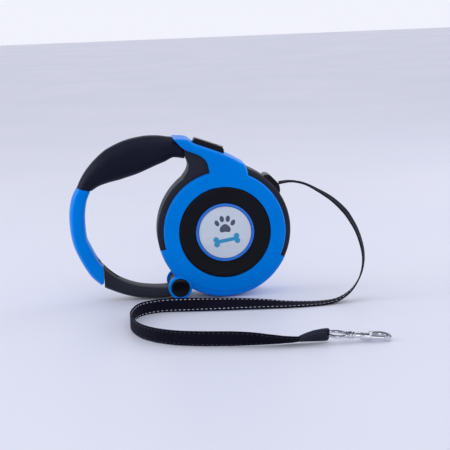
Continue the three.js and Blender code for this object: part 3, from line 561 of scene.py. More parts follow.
# %% Woven tape, thread and leather
def woven(name, colour, raised_yarn_highlight, rough, depth):
    material, tree, shader = started(name, sheen_weight=0.02, sheen_roughness=0.4, specular_ior_level=0.06)
    weave = use(tree, WEAVE)
    skin = use(tree, SKIN, patch_scale=60.0)
    # Painted highlight: the raised yarns of the weave take the paler colour, and the hollows between them
    # stay dark.
    tone = blended(tree, between(tree, weave["Yarn"], 0, 1, 0.1, 0.6), colour, raised_yarn_highlight)
    tone = blended(tree, between(tree, skin["Patch"], 0, 0.5), tone, colour)
    tree.links.new(tone, shader["Base Color"])
    tree.links.new(between(tree, weave["Yarn"], rough[0], rough[1], 0, 0.7), shader["Roughness"])
    tree.links.new(raised(tree, weave["Height"], depth), shader["Normal"])
    return material


def thread(name, colour, shadow):
    material, tree, shader = started(name, sheen_weight=0.3)
    skin = use(tree, SKIN, grain=3800.0, patch_scale=400.0)
    tree.links.new(blended(tree, between(tree, skin["Patch"], 0, 1), colour, shadow), shader["Base Color"])
    tree.links.new(between(tree, skin["Height"], 0.45, 0.7), shader["Roughness"])
    tree.links.new(raised(tree, skin["Height"], 0.00004), shader["Normal"])
    return material


def leather(name, colour, crease_shade, rough):
    material, tree, shader = started(name, coat_weight=0.04, coat_roughness=0.35, specular_ior_level=0.25)
    grain = use(tree, LEATHER)
    edge = use(tree, EDGES, width=0.0005)["Wear"]
    # Painted shade: the creases between the pebbles take the darker colour, as if shade lay in them.
    tone = blended(tree, grain["Crease"], colour, crease_shade)
    tone = blended(tree, sums(tree, "MULTIPLY", edge, 0.4), tone, from_srgb(74, 74, 88))
    tree.links.new(tone, shader["Base Color"])
    tree.links.new(between(tree, grain["Crease"], rough[0], rough[1], 0, 1), shader["Roughness"])
    tree.links.new(raised(tree, grain["Height"], 0.00012, 0.6), shader["Normal"])
    return material


TAPE_BLACK = woven("tape_black", from_srgb(7, 7, 22), from_srgb(24, 24, 46), (0.6, 0.8), 0.00012)
WHITE_THREAD = thread("white_thread", from_srgb(214, 216, 224), from_srgb(168, 172, 186))
DARK_THREAD = thread("dark_thread", from_srgb(62, 64, 80), from_srgb(38, 40, 54))
SLEEVE_LEATHER = leather("sleeve_leather", from_srgb(24, 28, 48), from_srgb(12, 14, 28), (0.42, 0.6))
print("soft finishes ready")


# %% A material on a piece
def finish_piece(piece, material, body="case", instead_of=()):
    """Gives a finished piece its material and body, and hides the CAD nodes that it stands for."""
    piece.data.materials.clear()
    piece.data.materials.append(material)
    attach(piece, body)
    if instead_of:
        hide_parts(*instead_of)
    print(f"{piece.name}: {triangles(piece)} triangles on {body}")
    return piece

# %% [markdown]
# ## Recipes that repeat a shape
# Stitches and screws repeat one small shape at many places. Geometry Nodes do that well: a tree takes
# the places as points or lines, puts the shape on each, and makes the copies real. The tree has named
# inputs for its sizes, and its result is turned into plain mesh at once, because an instance would be
# lost when the model is exported.

# %% Geometry Nodes helpers
def recipe(name, inputs):
    """An empty Geometry Nodes tree with a geometry in and out and named inputs."""
    tree = bpy.data.node_groups.new(name, "GeometryNodeTree")
    tree.interface.new_socket(name="Geometry", in_out="INPUT", socket_type="NodeSocketGeometry")
    for label, (kind, value) in inputs.items():
        socket = tree.interface.new_socket(name=label, in_out="INPUT", socket_type=kind)
        if value is not None:
            socket.default_value = value
    tree.interface.new_socket(name="Geometry", in_out="OUTPUT", socket_type="NodeSocketGeometry")
    return tree, tree.nodes.new("NodeGroupInput").outputs, tree.nodes.new("NodeGroupOutput").inputs


def follow(piece, tree, values):
    """Runs a recipe on a piece with its inputs set, and keeps the result as plain mesh."""
    step = piece.modifiers.new("recipe", "NODES")
    step.node_group = tree
    for item in tree.interface.items_tree:
        if item.in_out == "INPUT" and item.name in values:
            step[item.identifier] = values[item.name]
    return settle(piece)


# %% Recipe: a row of stitches along a line
def stitch_row():
    tree, given, out = recipe("stitch_row", {
        "Pitch": ("NodeSocketFloat", 0.0036), "Length": ("NodeSocketFloat", 0.0022),
        "Width": ("NodeSocketFloat", 0.0006), "Height": ("NodeSocketFloat", 0.0003),
        "Thread": ("NodeSocketMaterial", None)})
    line = node(tree, "GeometryNodeMeshToCurve", {"Mesh": given["Geometry"]})
    marks = node(tree, "GeometryNodeResampleCurve", {
        "Curve": line.outputs[0], "Length": given["Pitch"]}, mode="LENGTH")
    bead = node(tree, "GeometryNodeMeshUVSphere", {"Segments": 8, "Rings": 5, "Radius": 0.5})
    size = node(tree, "ShaderNodeCombineXYZ", {0: given["Length"], 1: given["Width"], 2: given["Height"]})
    ahead = node(tree, "GeometryNodeInputTangent")
    along = node(tree, "FunctionNodeAlignRotationToVector", {"Vector": ahead.outputs[0]}, axis="X")
    facing = node(tree, "GeometryNodeInputNamedAttribute", {"Name": "facing"}, data_type="FLOAT_VECTOR")
    upright = node(
        tree, "FunctionNodeAlignRotationToVector",
        {"Rotation": along.outputs[0], "Vector": facing.outputs[0]}, axis="Z", pivot_axis="X")
    placed = node(tree, "GeometryNodeInstanceOnPoints", {
        "Points": marks.outputs[0], "Instance": bead.outputs[0], "Rotation": upright.outputs[0],
        "Scale": size.outputs[0]})
    real = node(tree, "GeometryNodeRealizeInstances", {0: placed.outputs[0]})
    smooth = node(tree, "GeometryNodeSetShadeSmooth", {0: real.outputs[0]})
    threaded = node(tree, "GeometryNodeSetMaterial", {0: smooth.outputs[0], "Material": given["Thread"]})
    tree.links.new(threaded.outputs[0], out["Geometry"])
    return tree


# %% Recipe: a fastener at each point
def fastener_row():
    tree, given, out = recipe("fastener_row", {
        "Fastener": ("NodeSocketObject", None), "Finish": ("NodeSocketMaterial", None)})
    shape = node(tree, "GeometryNodeObjectInfo", {"Object": given["Fastener"]})
    points = node(tree, "GeometryNodeMeshToPoints", {"Mesh": given["Geometry"]})
    placed = node(tree, "GeometryNodeInstanceOnPoints", {
        "Points": points.outputs[0], "Instance": shape.outputs["Geometry"]})
    real = node(tree, "GeometryNodeRealizeInstances", {0: placed.outputs[0]})
    finished = node(tree, "GeometryNodeSetMaterial", {0: real.outputs[0], "Material": given["Finish"]})
    tree.links.new(finished.outputs[0], out["Geometry"])
    return tree


STITCHES, FASTENERS = stitch_row(), fastener_row()
print("recipes:", STITCHES.name, FASTENERS.name)

# %% [markdown]
# ## The free tape
# The tape is 11 mm webbing. It leaves the nozzle flat, falls in an arc to the table, turns onto its
# edge as it runs under the case, bends back, and ends in the sleeve of the snap hook. A flat ribbon
# with a modifier could not twist this way under control, so the ribbon is built ring by ring: each
# station of the route gives a middle point and how far the width is turned from level (0) to upright
# (90). Every ring lifts alternate yarns a little, so the weave is in the shape as well as the finish.

# %% The tape's route, millimetres and degrees
TAPE_ROUTE = [
    (83.6, 0, 91.8, 0), (91.2, -1, 92.8, 2), (97.3, -2.5, 92.5, 3), (105.2, -5.5, 90.6, 0),
    (115.7, -11, 85.1, -7),
    (126, -17, 78.1, -15), (135, -23.5, 68.7, -22), (139.6, -28, 60.9, -22), (142.9, -32.5, 53.2, -21),
    (145.3, -37, 43.4, -21), (145.9, -41, 34.8, -20), (144.7, -44.5, 27.1, -19), (142, -47.5, 20, -18),
    (138.2, -50, 14.2, -17), (134, -51.8, 9.6, -14), (129, -53.4, 6, -10), (120.7, -55.5, 2.5, -4),
    (109.4, -57.6, 1.3, 2), (91.6, -59.4, 1.7, 8), (76.8, -59.4, 2.4, 16), (63.3, -58.6, 3.4, 27),
    (45.9, -57.7, 4.4, 40), (29.2, -56.8, 5, 51), (1, -54.6, 5.6, 67), (-14, -53.2, 5.8, 78),
    (-26, -54.6, 5.8, 87),
    (-37.5, -62, 5.8, 90), (-44.2, -78, 5.8, 90), (-46, -97, 5.8, 90), (-43.2, -114, 5.8, 90),
    (-37.6, -128, 5.8, 90), (-28, -140, 5.8, 90), (-14, -149.8, 5.8, 90), (4, -156.2, 5.8, 90),
    (24, -160.8, 5.8, 87), (38, -164, 5.7, 72), (50, -166.6, 5.2, 55), (61, -167.8, 4.5, 41),
    (70.6, -167.8, 4.2, 33)]
IN_SLEEVE = (72.4, -167.8, 4.6, 33.5)   # the tape goes on for a little way inside the leather
TAPE_HALF = 5.5
TAPE_THICK = 1.2
TAPE_EDGE_HALF = 0.22           # the woven edge is thinner than the middle
YARN_STEP = 0.45                # between rings, along the tape
YARN_LIFT = 0.05
STITCH_AT = 4.1                 # stitch lines from the tape's middle


def width_at(ahead, turn):
    """The direction of the tape's width: level at 0, upright at 90 degrees, turning smoothly between."""
    across = (Vector((0, 1, 0)) - ahead * ahead.y).normalized()
    rise = across.cross(ahead)
    early = across * math.cos(turn) + rise * math.sin(turn)
    upright = (Vector((0, 0, 1)) - ahead * ahead.z).normalized()
    late = upright * math.sin(turn) + ahead.cross(upright) * math.cos(turn)
    share = min(max((turn - 0.5) / 0.9, 0), 1)
    if share > 0 and early.dot(late) < 0:
        early.negate()
    return early.lerp(late, share * share * (3 - 2 * share)).normalized()


def stations_along(route, step, samples=3000):
    """Evenly spaced stations: (middle, ahead, width, face normal, distance, t) along a route."""
    middle = [r[:3] for r in route]
    run, length, last = [(0.0, 0.0)], 0.0, spline_at(middle, 0)
    for i in range(1, samples + 1):
        here = spline_at(middle, i / samples)
        length += (here - last).length
        run.append((length, i / samples))
        last = here
    count = round(length / step)
    found, k = [], 0
    for i in range(count + 1):
        wanted = length * i / count
        while k < len(run) - 2 and run[k + 1][0] < wanted:
            k += 1
        (s0, t0), (s1, t1) = run[k], run[k + 1]
        t = t0 + (t1 - t0) * (wanted - s0) / max(s1 - s0, 1e-9)
        ahead = heading_at(middle, t)
        width = width_at(ahead, math.radians(mixed(route, 3, t)))
        found.append((spline_at(middle, t), ahead, width, ahead.cross(width).normalized(), wanted, t))
    return found


# %% A woven ribbon
def map_along(piece, places):
    """A map called tape on the piece, from each point's place across and along in millimetres."""
    layer = piece.data.uv_layers.new(name="tape")
    for loop in piece.data.loops:
        layer.data[loop.index].uv = places[loop.vertex_index]


def ribbon(name, route, yarns=12):
    """Webbing along a route, with a map in millimetres across and along it."""
    half = TAPE_THICK / 2 - 0.05
    inner = [-TAPE_HALF + 0.35 + (2 * TAPE_HALF - 0.7) * k / (yarns - 1) for k in range(yarns)]
    thin = TAPE_EDGE_HALF
    section = [(u, half, 1) for u in inner] + [(TAPE_HALF, thin, 0), (TAPE_HALF, -thin, 0)]
    section += [(u, -half, -1) for u in reversed(inner)] + [(-TAPE_HALF, -thin, 0), (-TAPE_HALF, thin, 0)]
    points, places = [], []
    rings = stations_along(route, YARN_STEP)
    for i, (centre, _, width, side, distance, _) in enumerate(rings):
        for j, (u, v, face) in enumerate(section):
            lift = YARN_LIFT * face if (i + j) % 2 else -0.4 * YARN_LIFT * face
            points.append(centre + width * u + side * (v + lift))
            places.append((u, distance))
    piece = made(name, points, lofted(len(rings), len(section), caps_last=True), origin=Vector())
    map_along(piece, places)
    piece.data.shade_smooth()
    return piece, rings


def stitch_lines(name, rings, offsets, thread, sizes, lift, ends=(4, 4)):
    """Stitches along a ribbon: offsets are (distance from the middle, face), face 1 or -1."""
    points, edges, facing = [], [], []
    kept = rings[ends[0]:len(rings) - ends[1]:2]
    for u, face in offsets:
        start = len(points)
        for centre, _, width, side, _, _ in kept:
            points.append((centre + width * u + side * face * lift) * MM)
            facing.append(side * face)
        edges += [(start + i, start + i + 1) for i in range(len(kept) - 1)]
    mesh = bpy.data.meshes.new(name)
    mesh.from_pydata(points, edges, [])
    store = mesh.attributes.new("facing", "FLOAT_VECTOR", "POINT")
    for item, direction in zip(store.data, facing):
        item.vector = direction
    piece = bpy.data.objects.new(name, mesh)
    bpy.context.scene.collection.objects.link(piece)
    values = {label: size * MM for label, size in zip(("Pitch", "Length", "Width", "Height"), sizes)}
    return follow(piece, STITCHES, {**values, "Thread": thread})


# %% Free tape and its stitching
free_tape, tape_rings = ribbon("tape_free_run", TAPE_ROUTE + [IN_SLEEVE])
finish_piece(free_tape, TAPE_BLACK, instead_of=["free_tape"])
WHITE_STITCH = (3.5, 2.1, 0.55, 0.3)        # pitch, length, width and height
GREY_STITCH = (3.5, 1.6, 0.4, 0.22)
front_seams, back_seams = [
    stitch_lines(
        name, tape_rings, [(STITCH_AT, face), (-STITCH_AT, face)], thread_finish, sizes, TAPE_THICK / 2,
        (8, 6))
    for name, face, thread_finish, sizes in (
        ("tape_white_stitches", -1, WHITE_THREAD, WHITE_STITCH),
        ("tape_grey_stitches", 1, DARK_THREAD, GREY_STITCH))]
finish_piece(front_seams, WHITE_THREAD)
finish_piece(back_seams, DARK_THREAD)

# %% Tape inside the case
LEAD_ROUTE = [(47.25, 0, 100, 0), (82.35, 0, 91.9, 0)]
lead_strip, _ = ribbon("tape_lead_strip", LEAD_ROUTE)
finish_piece(lead_strip, TAPE_BLACK, instead_of=["tape_lead"])


def wound_roll(inner=20.3, outer=43.9, turns=19, steps=72):
    """The turns of tape on the drum, as one spiral strip."""
    points, places = [], []
    gap = (outer - inner) / turns
    half = TAPE_HALF - 0.1
    distance = 0.0
    for i in range(turns * steps - steps + 1):
        angle = 2 * math.pi * i / steps
        low = inner + gap * i / steps
        distance += low * 2 * math.pi / steps
        for r, y in ((low, -half), (low + gap * 0.9, -half), (low + gap * 0.9, half), (low, half)):
            points.append((r * math.cos(angle), y, r * math.sin(angle)))
            places.append((y, distance))
    piece = made("tape_wound_roll", points, lofted(len(points) // 4, 4, caps_last=True))
    map_along(piece, places)
    return shade(piece, 40)


finish_piece(wound_roll(), TAPE_BLACK, "reel", ["wound_tape"])

# %% [markdown]
# ## The sleeve
# The tape's end folds round the ring of the snap hook, and a strip of leather is folded over the join
# and sewn along both edges. It is thin where it starts and full where the fold goes round the ring, and
# the seams pinch it. A loft of sections gives that shape, and the ring's hole is cut through the fold.

# %% Hook place and turned metal
HOOK_AT = Vector((99.2, -166.9, 5.8))
HOOK_TURN = (Matrix.Translation(HOOK_AT * MM) @ Matrix.Rotation(math.radians(-7.2), 4, "Z")
             @ Matrix.Rotation(math.radians(5), 4, "Y"))
RING_EYE_R = 6.9
RING_WIRE_R = 1.2
GAP_AT_RING = 0.3


def spun(name, profile, at=(0, 0), sides=40):
    """Spins a closed profile of (x, radius) about a line along x at (y, z), in the hook's own frame."""
    points, faces = lathe([(r, x) for x, r in profile], at, sides)
    return made(name, [(x, y, z) for y, x, z in points], faces, origin=Vector())


def swept(name, line, radius, steps=60, sides=20):
    """A round bar along a line in the hook's plane, with a radius for each t."""
    points = []
    for i in range(steps + 1):
        t = i / steps
        centre, ahead = spline_at(line, t), heading_at(line, t)
        out = Vector((-ahead.y, ahead.x, 0))
        for j in range(sides):
            turn = 2 * math.pi * j / sides
            points.append(centre + (out * math.cos(turn) + Vector((0, 0, math.sin(turn)))) * radius(t))
    return made(name, points, lofted(steps + 1, sides, caps_last=True), origin=Vector())


def ring_wire(name, wire):
    """The swivel ring, or the room for it."""
    turns = [2 * math.pi * j / 16 for j in range(16)]
    wire_section = [(RING_EYE_R + wire * math.cos(b), wire * math.sin(b)) for b in turns]
    points, faces = lathe(wire_section, (0, 0), 72)
    return made(name, [(x, y, z) for x, z, y in points], faces, origin=Vector())


# %% Leather sleeve
SLEEVE_ROUTE = [
    (71.5, -167.8, 4.3, 33, 5.6, 2.4), (75.1, -167.7, 5, 38, 5.7, 3.2), (81.6, -167.3, 5.8, 50, 5.8, 4),
    (88.6, -166.9, 6.1, 58, 5.8, 4.2), (93.4, -166.5, 6.1, 62, 5.6, 3.6)]


def sleeve():
    """A loft of soft sections, pinched along both seams, with room for the ring."""
    rings = stations_along(SLEEVE_ROUTE, 0.4, 400)
    sides = 44
    points = []
    for i, (centre, _, width, side, _, t) in enumerate(rings):
        half, thick = mixed(SLEEVE_ROUTE, 4, t), mixed(SLEEVE_ROUTE, 5, t)
        end = min(1, 0.86 + min(i, len(rings) - 1 - i) * 0.05)
        for j in range(sides):
            turn = 2 * math.pi * (j + 0.5) / sides
            c, s = math.cos(turn), math.sin(turn)
            u = math.copysign(abs(c) ** 0.7, c)
            v = math.copysign(abs(s) ** 0.6, s)
            pinch = 1 - 0.3 * math.exp(-((abs(u) - 0.78) / 0.1) ** 2)
            points.append(centre + width * u * half * end + side * v * thick / 2 * pinch * end)
    piece = made("sleeve_leather_fold", points, lofted(len(rings), sides, caps_last=True), origin=Vector())
    room = ring_wire("tool", RING_WIRE_R + GAP_AT_RING)
    room.data.transform(HOOK_TURN)
    carve(piece, "DIFFERENCE", room)
    return shade(piece, 50), rings


leather_sleeve, sleeve_rings = sleeve()
finish_piece(leather_sleeve, SLEEVE_LEATHER, instead_of=["tape_sleeve"])


def sleeve_seam(face):
    """One stitch line near each long edge of the sleeve, sunk in its pinch."""
    lines = []
    for centre, ahead, width, side, distance, t in sleeve_rings:
        half, thick = mixed(SLEEVE_ROUTE, 4, t), mixed(SLEEVE_ROUTE, 5, t)
        lines.append((centre, ahead, width * half / 5.7, side * thick * 0.36, distance, t))
    return stitch_lines(
        f"sleeve_seam_{'front' if face > 0 else 'back'}", lines, [(4.45, face), (-4.45, face)], DARK_THREAD,
        (2.2, 1.5, 0.5, 0.5), 1.0, (4, 12))


for face in (1, -1):
    finish_piece(sleeve_seam(face), DARK_THREAD)

# %% [markdown]
# ## The snap hook
# The hook is a small zinc casting with chrome plate. A ring goes through the tape's fold, and its
# collar holds the stem of the hook so that it can swivel. A spring bolt with a thumb stud closes the
# mouth. The turned parts are spun about the hook's length, the jaw is a bar swept round a curve that
# thins towards its tip, and the parts of one casting are joined into one mesh.

# %% Ring and collar
STEM_HOLE_R = 1.55

swivel_ring = ring_wire("hook_swivel_ring", RING_WIRE_R)
carve(swivel_ring, "UNION", spun("tool", soften([
    (6.2, 0), (6.2, 2.7, 0.5), (7.6, 2.2, 0.5), (9, 2.8, 0.6), (10.5, 2.7, 0.6), (10.5, 0)], 4)))
stem_hole = [(-0.5, 0), (-0.5, STEM_HOLE_R), (20, STEM_HOLE_R), (20, 0)]
carve(swivel_ring, "DIFFERENCE", spun("tool", stem_hole, sides=32))
swivel_ring.data.transform(HOOK_TURN)
shade(swivel_ring, 38)
finish_piece(swivel_ring, CHROME, instead_of=["swivel_eye"])

# %% Hook casting
JAW = [
    (20.5, 0.6, 0), (24, 3.9, 0), (28, 6.6, 0), (32.6, 6.9, 0), (36.2, 4.4, 0), (37.4, 0.4, 0),
    (36.2, -3.6, 0)]
JAW_R = 1.95
TIP_R = 1.6
BOLT_Y = -2.2                   # the bolt lies beside the stem's line
BOLT_R = 1.25
BOLT_FROM, BOLT_TO = 22.6, 33.9
BARREL_R = 2.7
GROOVE_R = 2.45                 # two fine grooves near the barrel's ends
hook_casting = spun("hook_casting", soften([
    (3.9, 0), (3.9, 1.9, 0.6), (5.1, 1.9, 0.5), (5.2, 1.4), (10.8, 1.4), (10.8, 2.5, 0.6), (12.4, 2.5, 0.6),
    (12.7, 1.7, 0.5), (14.4, 1.9, 2), (17.2, 1.9), (17.2, 0)], 4))
barrel = spun("tool", soften([
    (16.4, 0), (16.4, 2.2, 0.6), (17.2, BARREL_R, 0.4), (18, BARREL_R), (18.2, GROOVE_R), (18.6, GROOVE_R),
    (18.8, BARREL_R), (23.2, BARREL_R), (23.4, GROOVE_R), (23.8, GROOVE_R), (24, BARREL_R, 0.3),
    (24.5, 2.4, 0.3), (24.5, 0)], 4), (BOLT_Y / 2, 0))
jaw = swept("tool", JAW, lambda t: JAW_R - (JAW_R - TIP_R) * max(0, t - 0.5) * 2)
carve(hook_casting, "UNION", barrel, jaw)
carve(
    hook_casting, "DIFFERENCE",
    spun("tool", [(17.6, 0), (17.6, BOLT_R + 0.1), (34.2, BOLT_R + 0.1), (34.2, 0)], (BOLT_Y, 0), 32))
slot = plate("tool", [(18.2, 0), (25.6, 0), (25.6, 6), (18.2, 6)], BOLT_Y - 1.2, BOLT_Y + 1.2)
slot.data.transform(Matrix.Translation(-REEL))
carve(hook_casting, "DIFFERENCE", slot)
ease_edges(hook_casting, 0.15, 45)
hook_casting.data.transform(HOOK_TURN)
shade(hook_casting, 38)
finish_piece(hook_casting, CHROME, "hook", ["hook_body"])

# %% Spring bolt and thumb stud
spring_bolt = spun("hook_spring_bolt", soften([
    (BOLT_FROM, 0), (BOLT_FROM, BOLT_R, 0.2), (BOLT_TO, BOLT_R, 0.5), (BOLT_TO, 0)], 4), (BOLT_Y, 0), 28)
stud = plate("tool", soften([
    (22.7, 0), (24.5, 0), (24.7, 3.6, 0.4), (24.2, 4.2, 0.4), (23, 4.2, 0.4), (22.5, 3.6, 0.4)]),
    BOLT_Y - 0.9, BOLT_Y + 0.9, 0.2, 3)
stud.data.transform(Matrix.Translation(-REEL))
carve(spring_bolt, "UNION", stud)
spring_bolt.data.transform(HOOK_TURN)
shade(spring_bolt, 38)
finish_piece(spring_bolt, CHROME, "hook_bolt", ["hook_bolt"])

# %% [markdown]
# ## The case
# The case is two black half shells with a screwed seam, and a blue cover on each face. The reel
# chamber, the neck, the well of the brake button and the nozzle's seat are cut out of the shells as
# a mould maker would. The cuts use the same outlines as the CAD frame, with finer rounding. Each
# front piece is made once and mirrored for the back, because the real moulds are a pair.

# %% Sizes of the case
CASE_R = 55.5
CASE_HALF = 13
COVER_FACE = -18                # outer face of the front cover
RING_R = 50.5
DISC_R = 37.6
SKIRT_IN = 53.2
GAP = 0.3
PARTING = -GAP / 2
PIVOT = (-38.7, -44.8)
LUNE = (-166, -26)              # the covers reach the full radius between these angles
GATE_EYE_R = 7.8
GATE_PIN_HOLE_R = 2.6
HINGE_CAP_R = 7.6
EAR_R = 9.9
SPINDLE_R = 4
CHAMBER_R = 50.8                # the reel's room inside the shells
BOSS_R = 2.6
SCREW_HOLE_R = 1.2
SCREW_HEAD_R = 2.8              # the hole that lets the head in
THROUGH = 40                    # a cutting tool this long goes right through the case

GRIP_AREA = [
    (-135, 45.4), (-100, 36.65, 4), (-70, 30), (-31, 55, 2), (-29.9, 61.5, 4), (-31.6, 69.6, 6),
    (-41, 80.4, 4), (-44, 95), (-135, 95)]
NECK = [
    (-37, 36), (-32.9, 44.9, 3), (-29.4, 49.1, 3), (-27.4, 53.6, 3), (-27.6, 57.6, 3), (-29.5, 61.4, 3),
    (-31.2, 69.4, 3), (-36.6, 75.6), (-28.4, 75.6), (-24.6, 71.2, 4), (3.6, 60.6, 12), (17.9, 51.9, 6),
    (14, 36)]
ROOF = [(-40.2, 79), (-27.2, 78.3, 6), (-23.5, 74.1, 5), (4.5, 63.4, 20), (19, 54.8, 2.5)]
ROOF_WALL = 2.3
UPPER_PLATE = ROOF + [
    (21.6, 45.4, 4), (14, 32), (-8, 32), (-10.6, 48, 4), (-11.3, 53.4, 4), (-12.6, 59, 4), (-17.2, 63.9, 6),
    (-31.1, 69.7, 4)]
NOZZLE = [
    (30.4, 38.9), (34.6, 44.2, 2), (36.2, 45.2, 2), (39.8, 44.7, 3), (45.2, 38.8, 2), (47.3, 36.6, 2),
    (48.1, 32.6, 3), (48, 28.8, 2), (42.3, 25.4)]
NOZZLE_HALF = 9.4
NOZZLE_MOUTH = (47.2, 36.3)
LEAD_START = (11.5, 44.5)       # where the tape leaves the wound pack
SCREWS = [(13.6, 50.9), (-23.4, 60.4), (41.9, -29.4), (0.9, -50.8), (-46.2, -21.5)]
BUTTON_AT = (-9.5, 70)
BUTTON_TILT = math.atan2(-10.7, 28)
BUTTON_HALF = 5.8
GRIP_STATIONS = [
    (-116, 32, 5.6, 10.3), (-113.3, 40, 6.1, 10.8), (-107.6, 46.9, 8, 12), (-100, 52.6, 10.6, 13.5),
    (-88.6, 58.6, 13.7, 13.5), (-74.5, 63.8, 14.7, 13.5), (-60.5, 67.7, 13.4, 13.5),
    (-48.8, 69.6, 11.1, 13.5), (-38.7, 70.6, 8.4, 13), (-27, 69, 8.6, 12.6)]
TUBE_SECTION = [(1, 0.4, 0.5), (1, 1, 0.6), (-1, 1, 0.6), (-1, -1, 0.6), (1, -1, 0.6), (1, -0.4, 0.5)]


# %% Tools that several pieces are cut with
def box_tool(width, depth, height, centre):
    x, y, z = centre
    outline = [(x - width / 2, z - height / 2), (x + width / 2, z - height / 2),
               (x + width / 2, z + height / 2), (x - width / 2, z + height / 2)]
    return plate("tool", outline, y - depth / 2, y + depth / 2)


def on_slope(piece):
    """Moves a piece made round the brake button's own middle into its place on the neck."""
    turn = Matrix.Rotation(-BUTTON_TILT, 4, "Y")
    shift = Matrix.Translation(REEL + Vector((BUTTON_AT[0], 0, BUTTON_AT[1])) * MM)
    piece.data.transform(shift @ turn @ Matrix.Translation(-REEL))
    return piece


def through(outline):
    """An outline as a tool that is long enough to cut right through."""
    return plate("tool", outline, -THROUGH, THROUGH)


def wedge(start, end, reach=90):
    """A sector of the case between two angles in degrees."""
    arc = [math.radians(start + (end - start) * k / 12) for k in range(13)]
    return through([(0, 0)] + [(reach * math.cos(a), reach * math.sin(a)) for a in arc])


def nozzle_seat():
    """The room for the nozzle guide between the shells."""
    return plate("tool", grown(soften(NOZZLE), GAP), -NOZZLE_HALF - GAP, NOZZLE_HALF + GAP)


def tape_slot():
    """The tape's way out of the nozzle."""
    fall = math.atan2(NOZZLE_MOUTH[1] - LEAD_START[1], NOZZLE_MOUTH[0] - LEAD_START[0])
    slot = box_tool(50, 13.4, 4.8, (0, 0, 0))
    turn = Matrix.Rotation(-fall, 4, "Y")
    shift = Matrix.Translation(REEL + Vector((NOZZLE_MOUTH[0], 0, NOZZLE_MOUTH[1])) * MM)
    slot.data.transform(shift @ turn @ Matrix.Translation(-REEL))
    return slot


def spine(clearance=0.0):
    """The casing's rib inside the grip, or the room for it."""
    stations = [(x, z, 3.6 + clearance, 4.5 + clearance) for x, z, _, _ in GRIP_STATIONS]
    return bar("tool", stations, TUBE_SECTION, steps=40)


# %% Black half shells
def half_shell():
    """The front shell: a dish with screw bosses, joined to half of the neck, with its wells cut out."""
    low = -CASE_HALF
    shell = turned("front_shell", soften([
        (0, low), (CASE_R, low, 3.4), (CASE_R, PARTING, 0.3), (0, PARTING)], 8))
    inside, outside = SKIRT_IN - GAP, CASE_R + 2
    step = turned("tool", [(inside, low - 1), (outside, low - 1), (outside, 1), (inside, 1)])
    carve(shell, "DIFFERENCE", carve(step, "INTERSECT", wedge(LUNE[0] - 0.3, LUNE[1] + 0.3)))
    carve(shell, "DIFFERENCE", disc(CHAMBER_R, low + 2, 1, sides=ROUND))
    ring = [(47.9, low + 1), (inside, low + 1), (inside, PARTING), (47.9, PARTING)]
    for at in SCREWS:
        boss = carve(disc(BOSS_R, low + 1, PARTING, at, 24), "INTERSECT", turned("tool", ring))
        carve(shell, "UNION", boss)
    neck = plate("tool", soften(NECK), low, CASE_HALF, 1.8)
    carve(neck, "DIFFERENCE", disc(CHAMBER_R, low + 2, 20, sides=ROUND))
    front = box_tool(400, 40, 400, (0, PARTING - 20, 0))
    carve(neck, "UNION", spine())
    carve(shell, "UNION", carve(neck, "INTERSECT", front))
    carve(
        shell, "DIFFERENCE",
        disc(GATE_EYE_R + 0.5, low - 1, 1, PIVOT),
        disc(SPINDLE_R + 0.1, low + 1.2, low + 6),
        nozzle_seat(),
        tape_slot(),
        on_slope(box_tool(29, 2 * BUTTON_HALF + 1, 20, (-0.3, 0, 2.4))))
    return shell


front_shell = half_shell()
back_shell = mirrored(front_shell, "back_shell")
for screw_at in SCREWS:
    carve(
        back_shell, "DIFFERENCE",
        disc(SCREW_HEAD_R, 11, 30, screw_at, 32), disc(SCREW_HOLE_R, -1, 30, screw_at, 24))
for shell, node_name in ((front_shell, "front_casing"), (back_shell, "back_casing")):
    shade(ease_edges(shell, 0.3))
    finish_piece(shell, CHARCOAL, instead_of=[node_name])

# %% [markdown]
# ## The blue covers
# Each cover is one moulding: a ring round the dark disc, a lower rim that wraps under the case, an
# ear round the gate's hinge, and a plate that climbs the neck and folds over its top as a roof. The
# flat faces of all four lie in one plane, so that no seam shows where they run together.

# %% Blue covers
def cover():
    """The front cover: ring, lower rim, ear, neck plate and roof joined, then cut round what they hold."""
    seat = -CASE_HALF - GAP
    face = COVER_FACE
    ring = turned("front_cover_shell", soften([
        (DISC_R + GAP, seat), (DISC_R + GAP, face, 0.9), (RING_R, face, 2.6), (RING_R, seat)], 6))
    rim = turned("tool", soften([
        (44, seat), (44, face + 0.7), (RING_R + 0.4, face + 0.9, 2), (CASE_R, face + 3.4, 5),
        (CASE_R, PARTING, 0.3), (SKIRT_IN, PARTING), (SKIRT_IN, seat)], 7))
    carve(rim, "INTERSECT", wedge(*LUNE))
    ear = turned("tool", soften([
        (0, seat), (0, face + 0.4), (EAR_R, face + 0.4, 1.8), (EAR_R, seat)], 5), PIVOT, 64)
    climb = plate("tool", soften(UPPER_PLATE), face, face + 30, 2.4, 5)
    carve(climb, "INTERSECT", box_tool(400, CASE_HALF, 400, (0, seat - CASE_HALF / 2, 0)))
    outer = soften(ROOF, closed=False)
    below = grown(outer + [(30, 20), (-60, 20)], -ROOF_WALL)[:len(outer)]
    roof = plate("tool", outer + below[::-1], face + 2, PARTING)
    carve(ring, "UNION", rim, ear, climb, roof)
    return carve(
        ring, "DIFFERENCE",
        disc(DISC_R + GAP, face - 1, seat + 1, sides=ROUND),
        through(grown(soften(GRIP_AREA), GAP)),
        nozzle_seat(),
        disc(HINGE_CAP_R + GAP, face - 1, face + 2.8, PIVOT),
        disc(GATE_PIN_HOLE_R, face - 1, 0, PIVOT),
        disc(GATE_EYE_R + 0.5, seat + 0.2, 1, PIVOT),
        on_slope(box_tool(28.6, 2 * BUTTON_HALF + 2 * GAP, 20, (-0.3, 0, 6))))


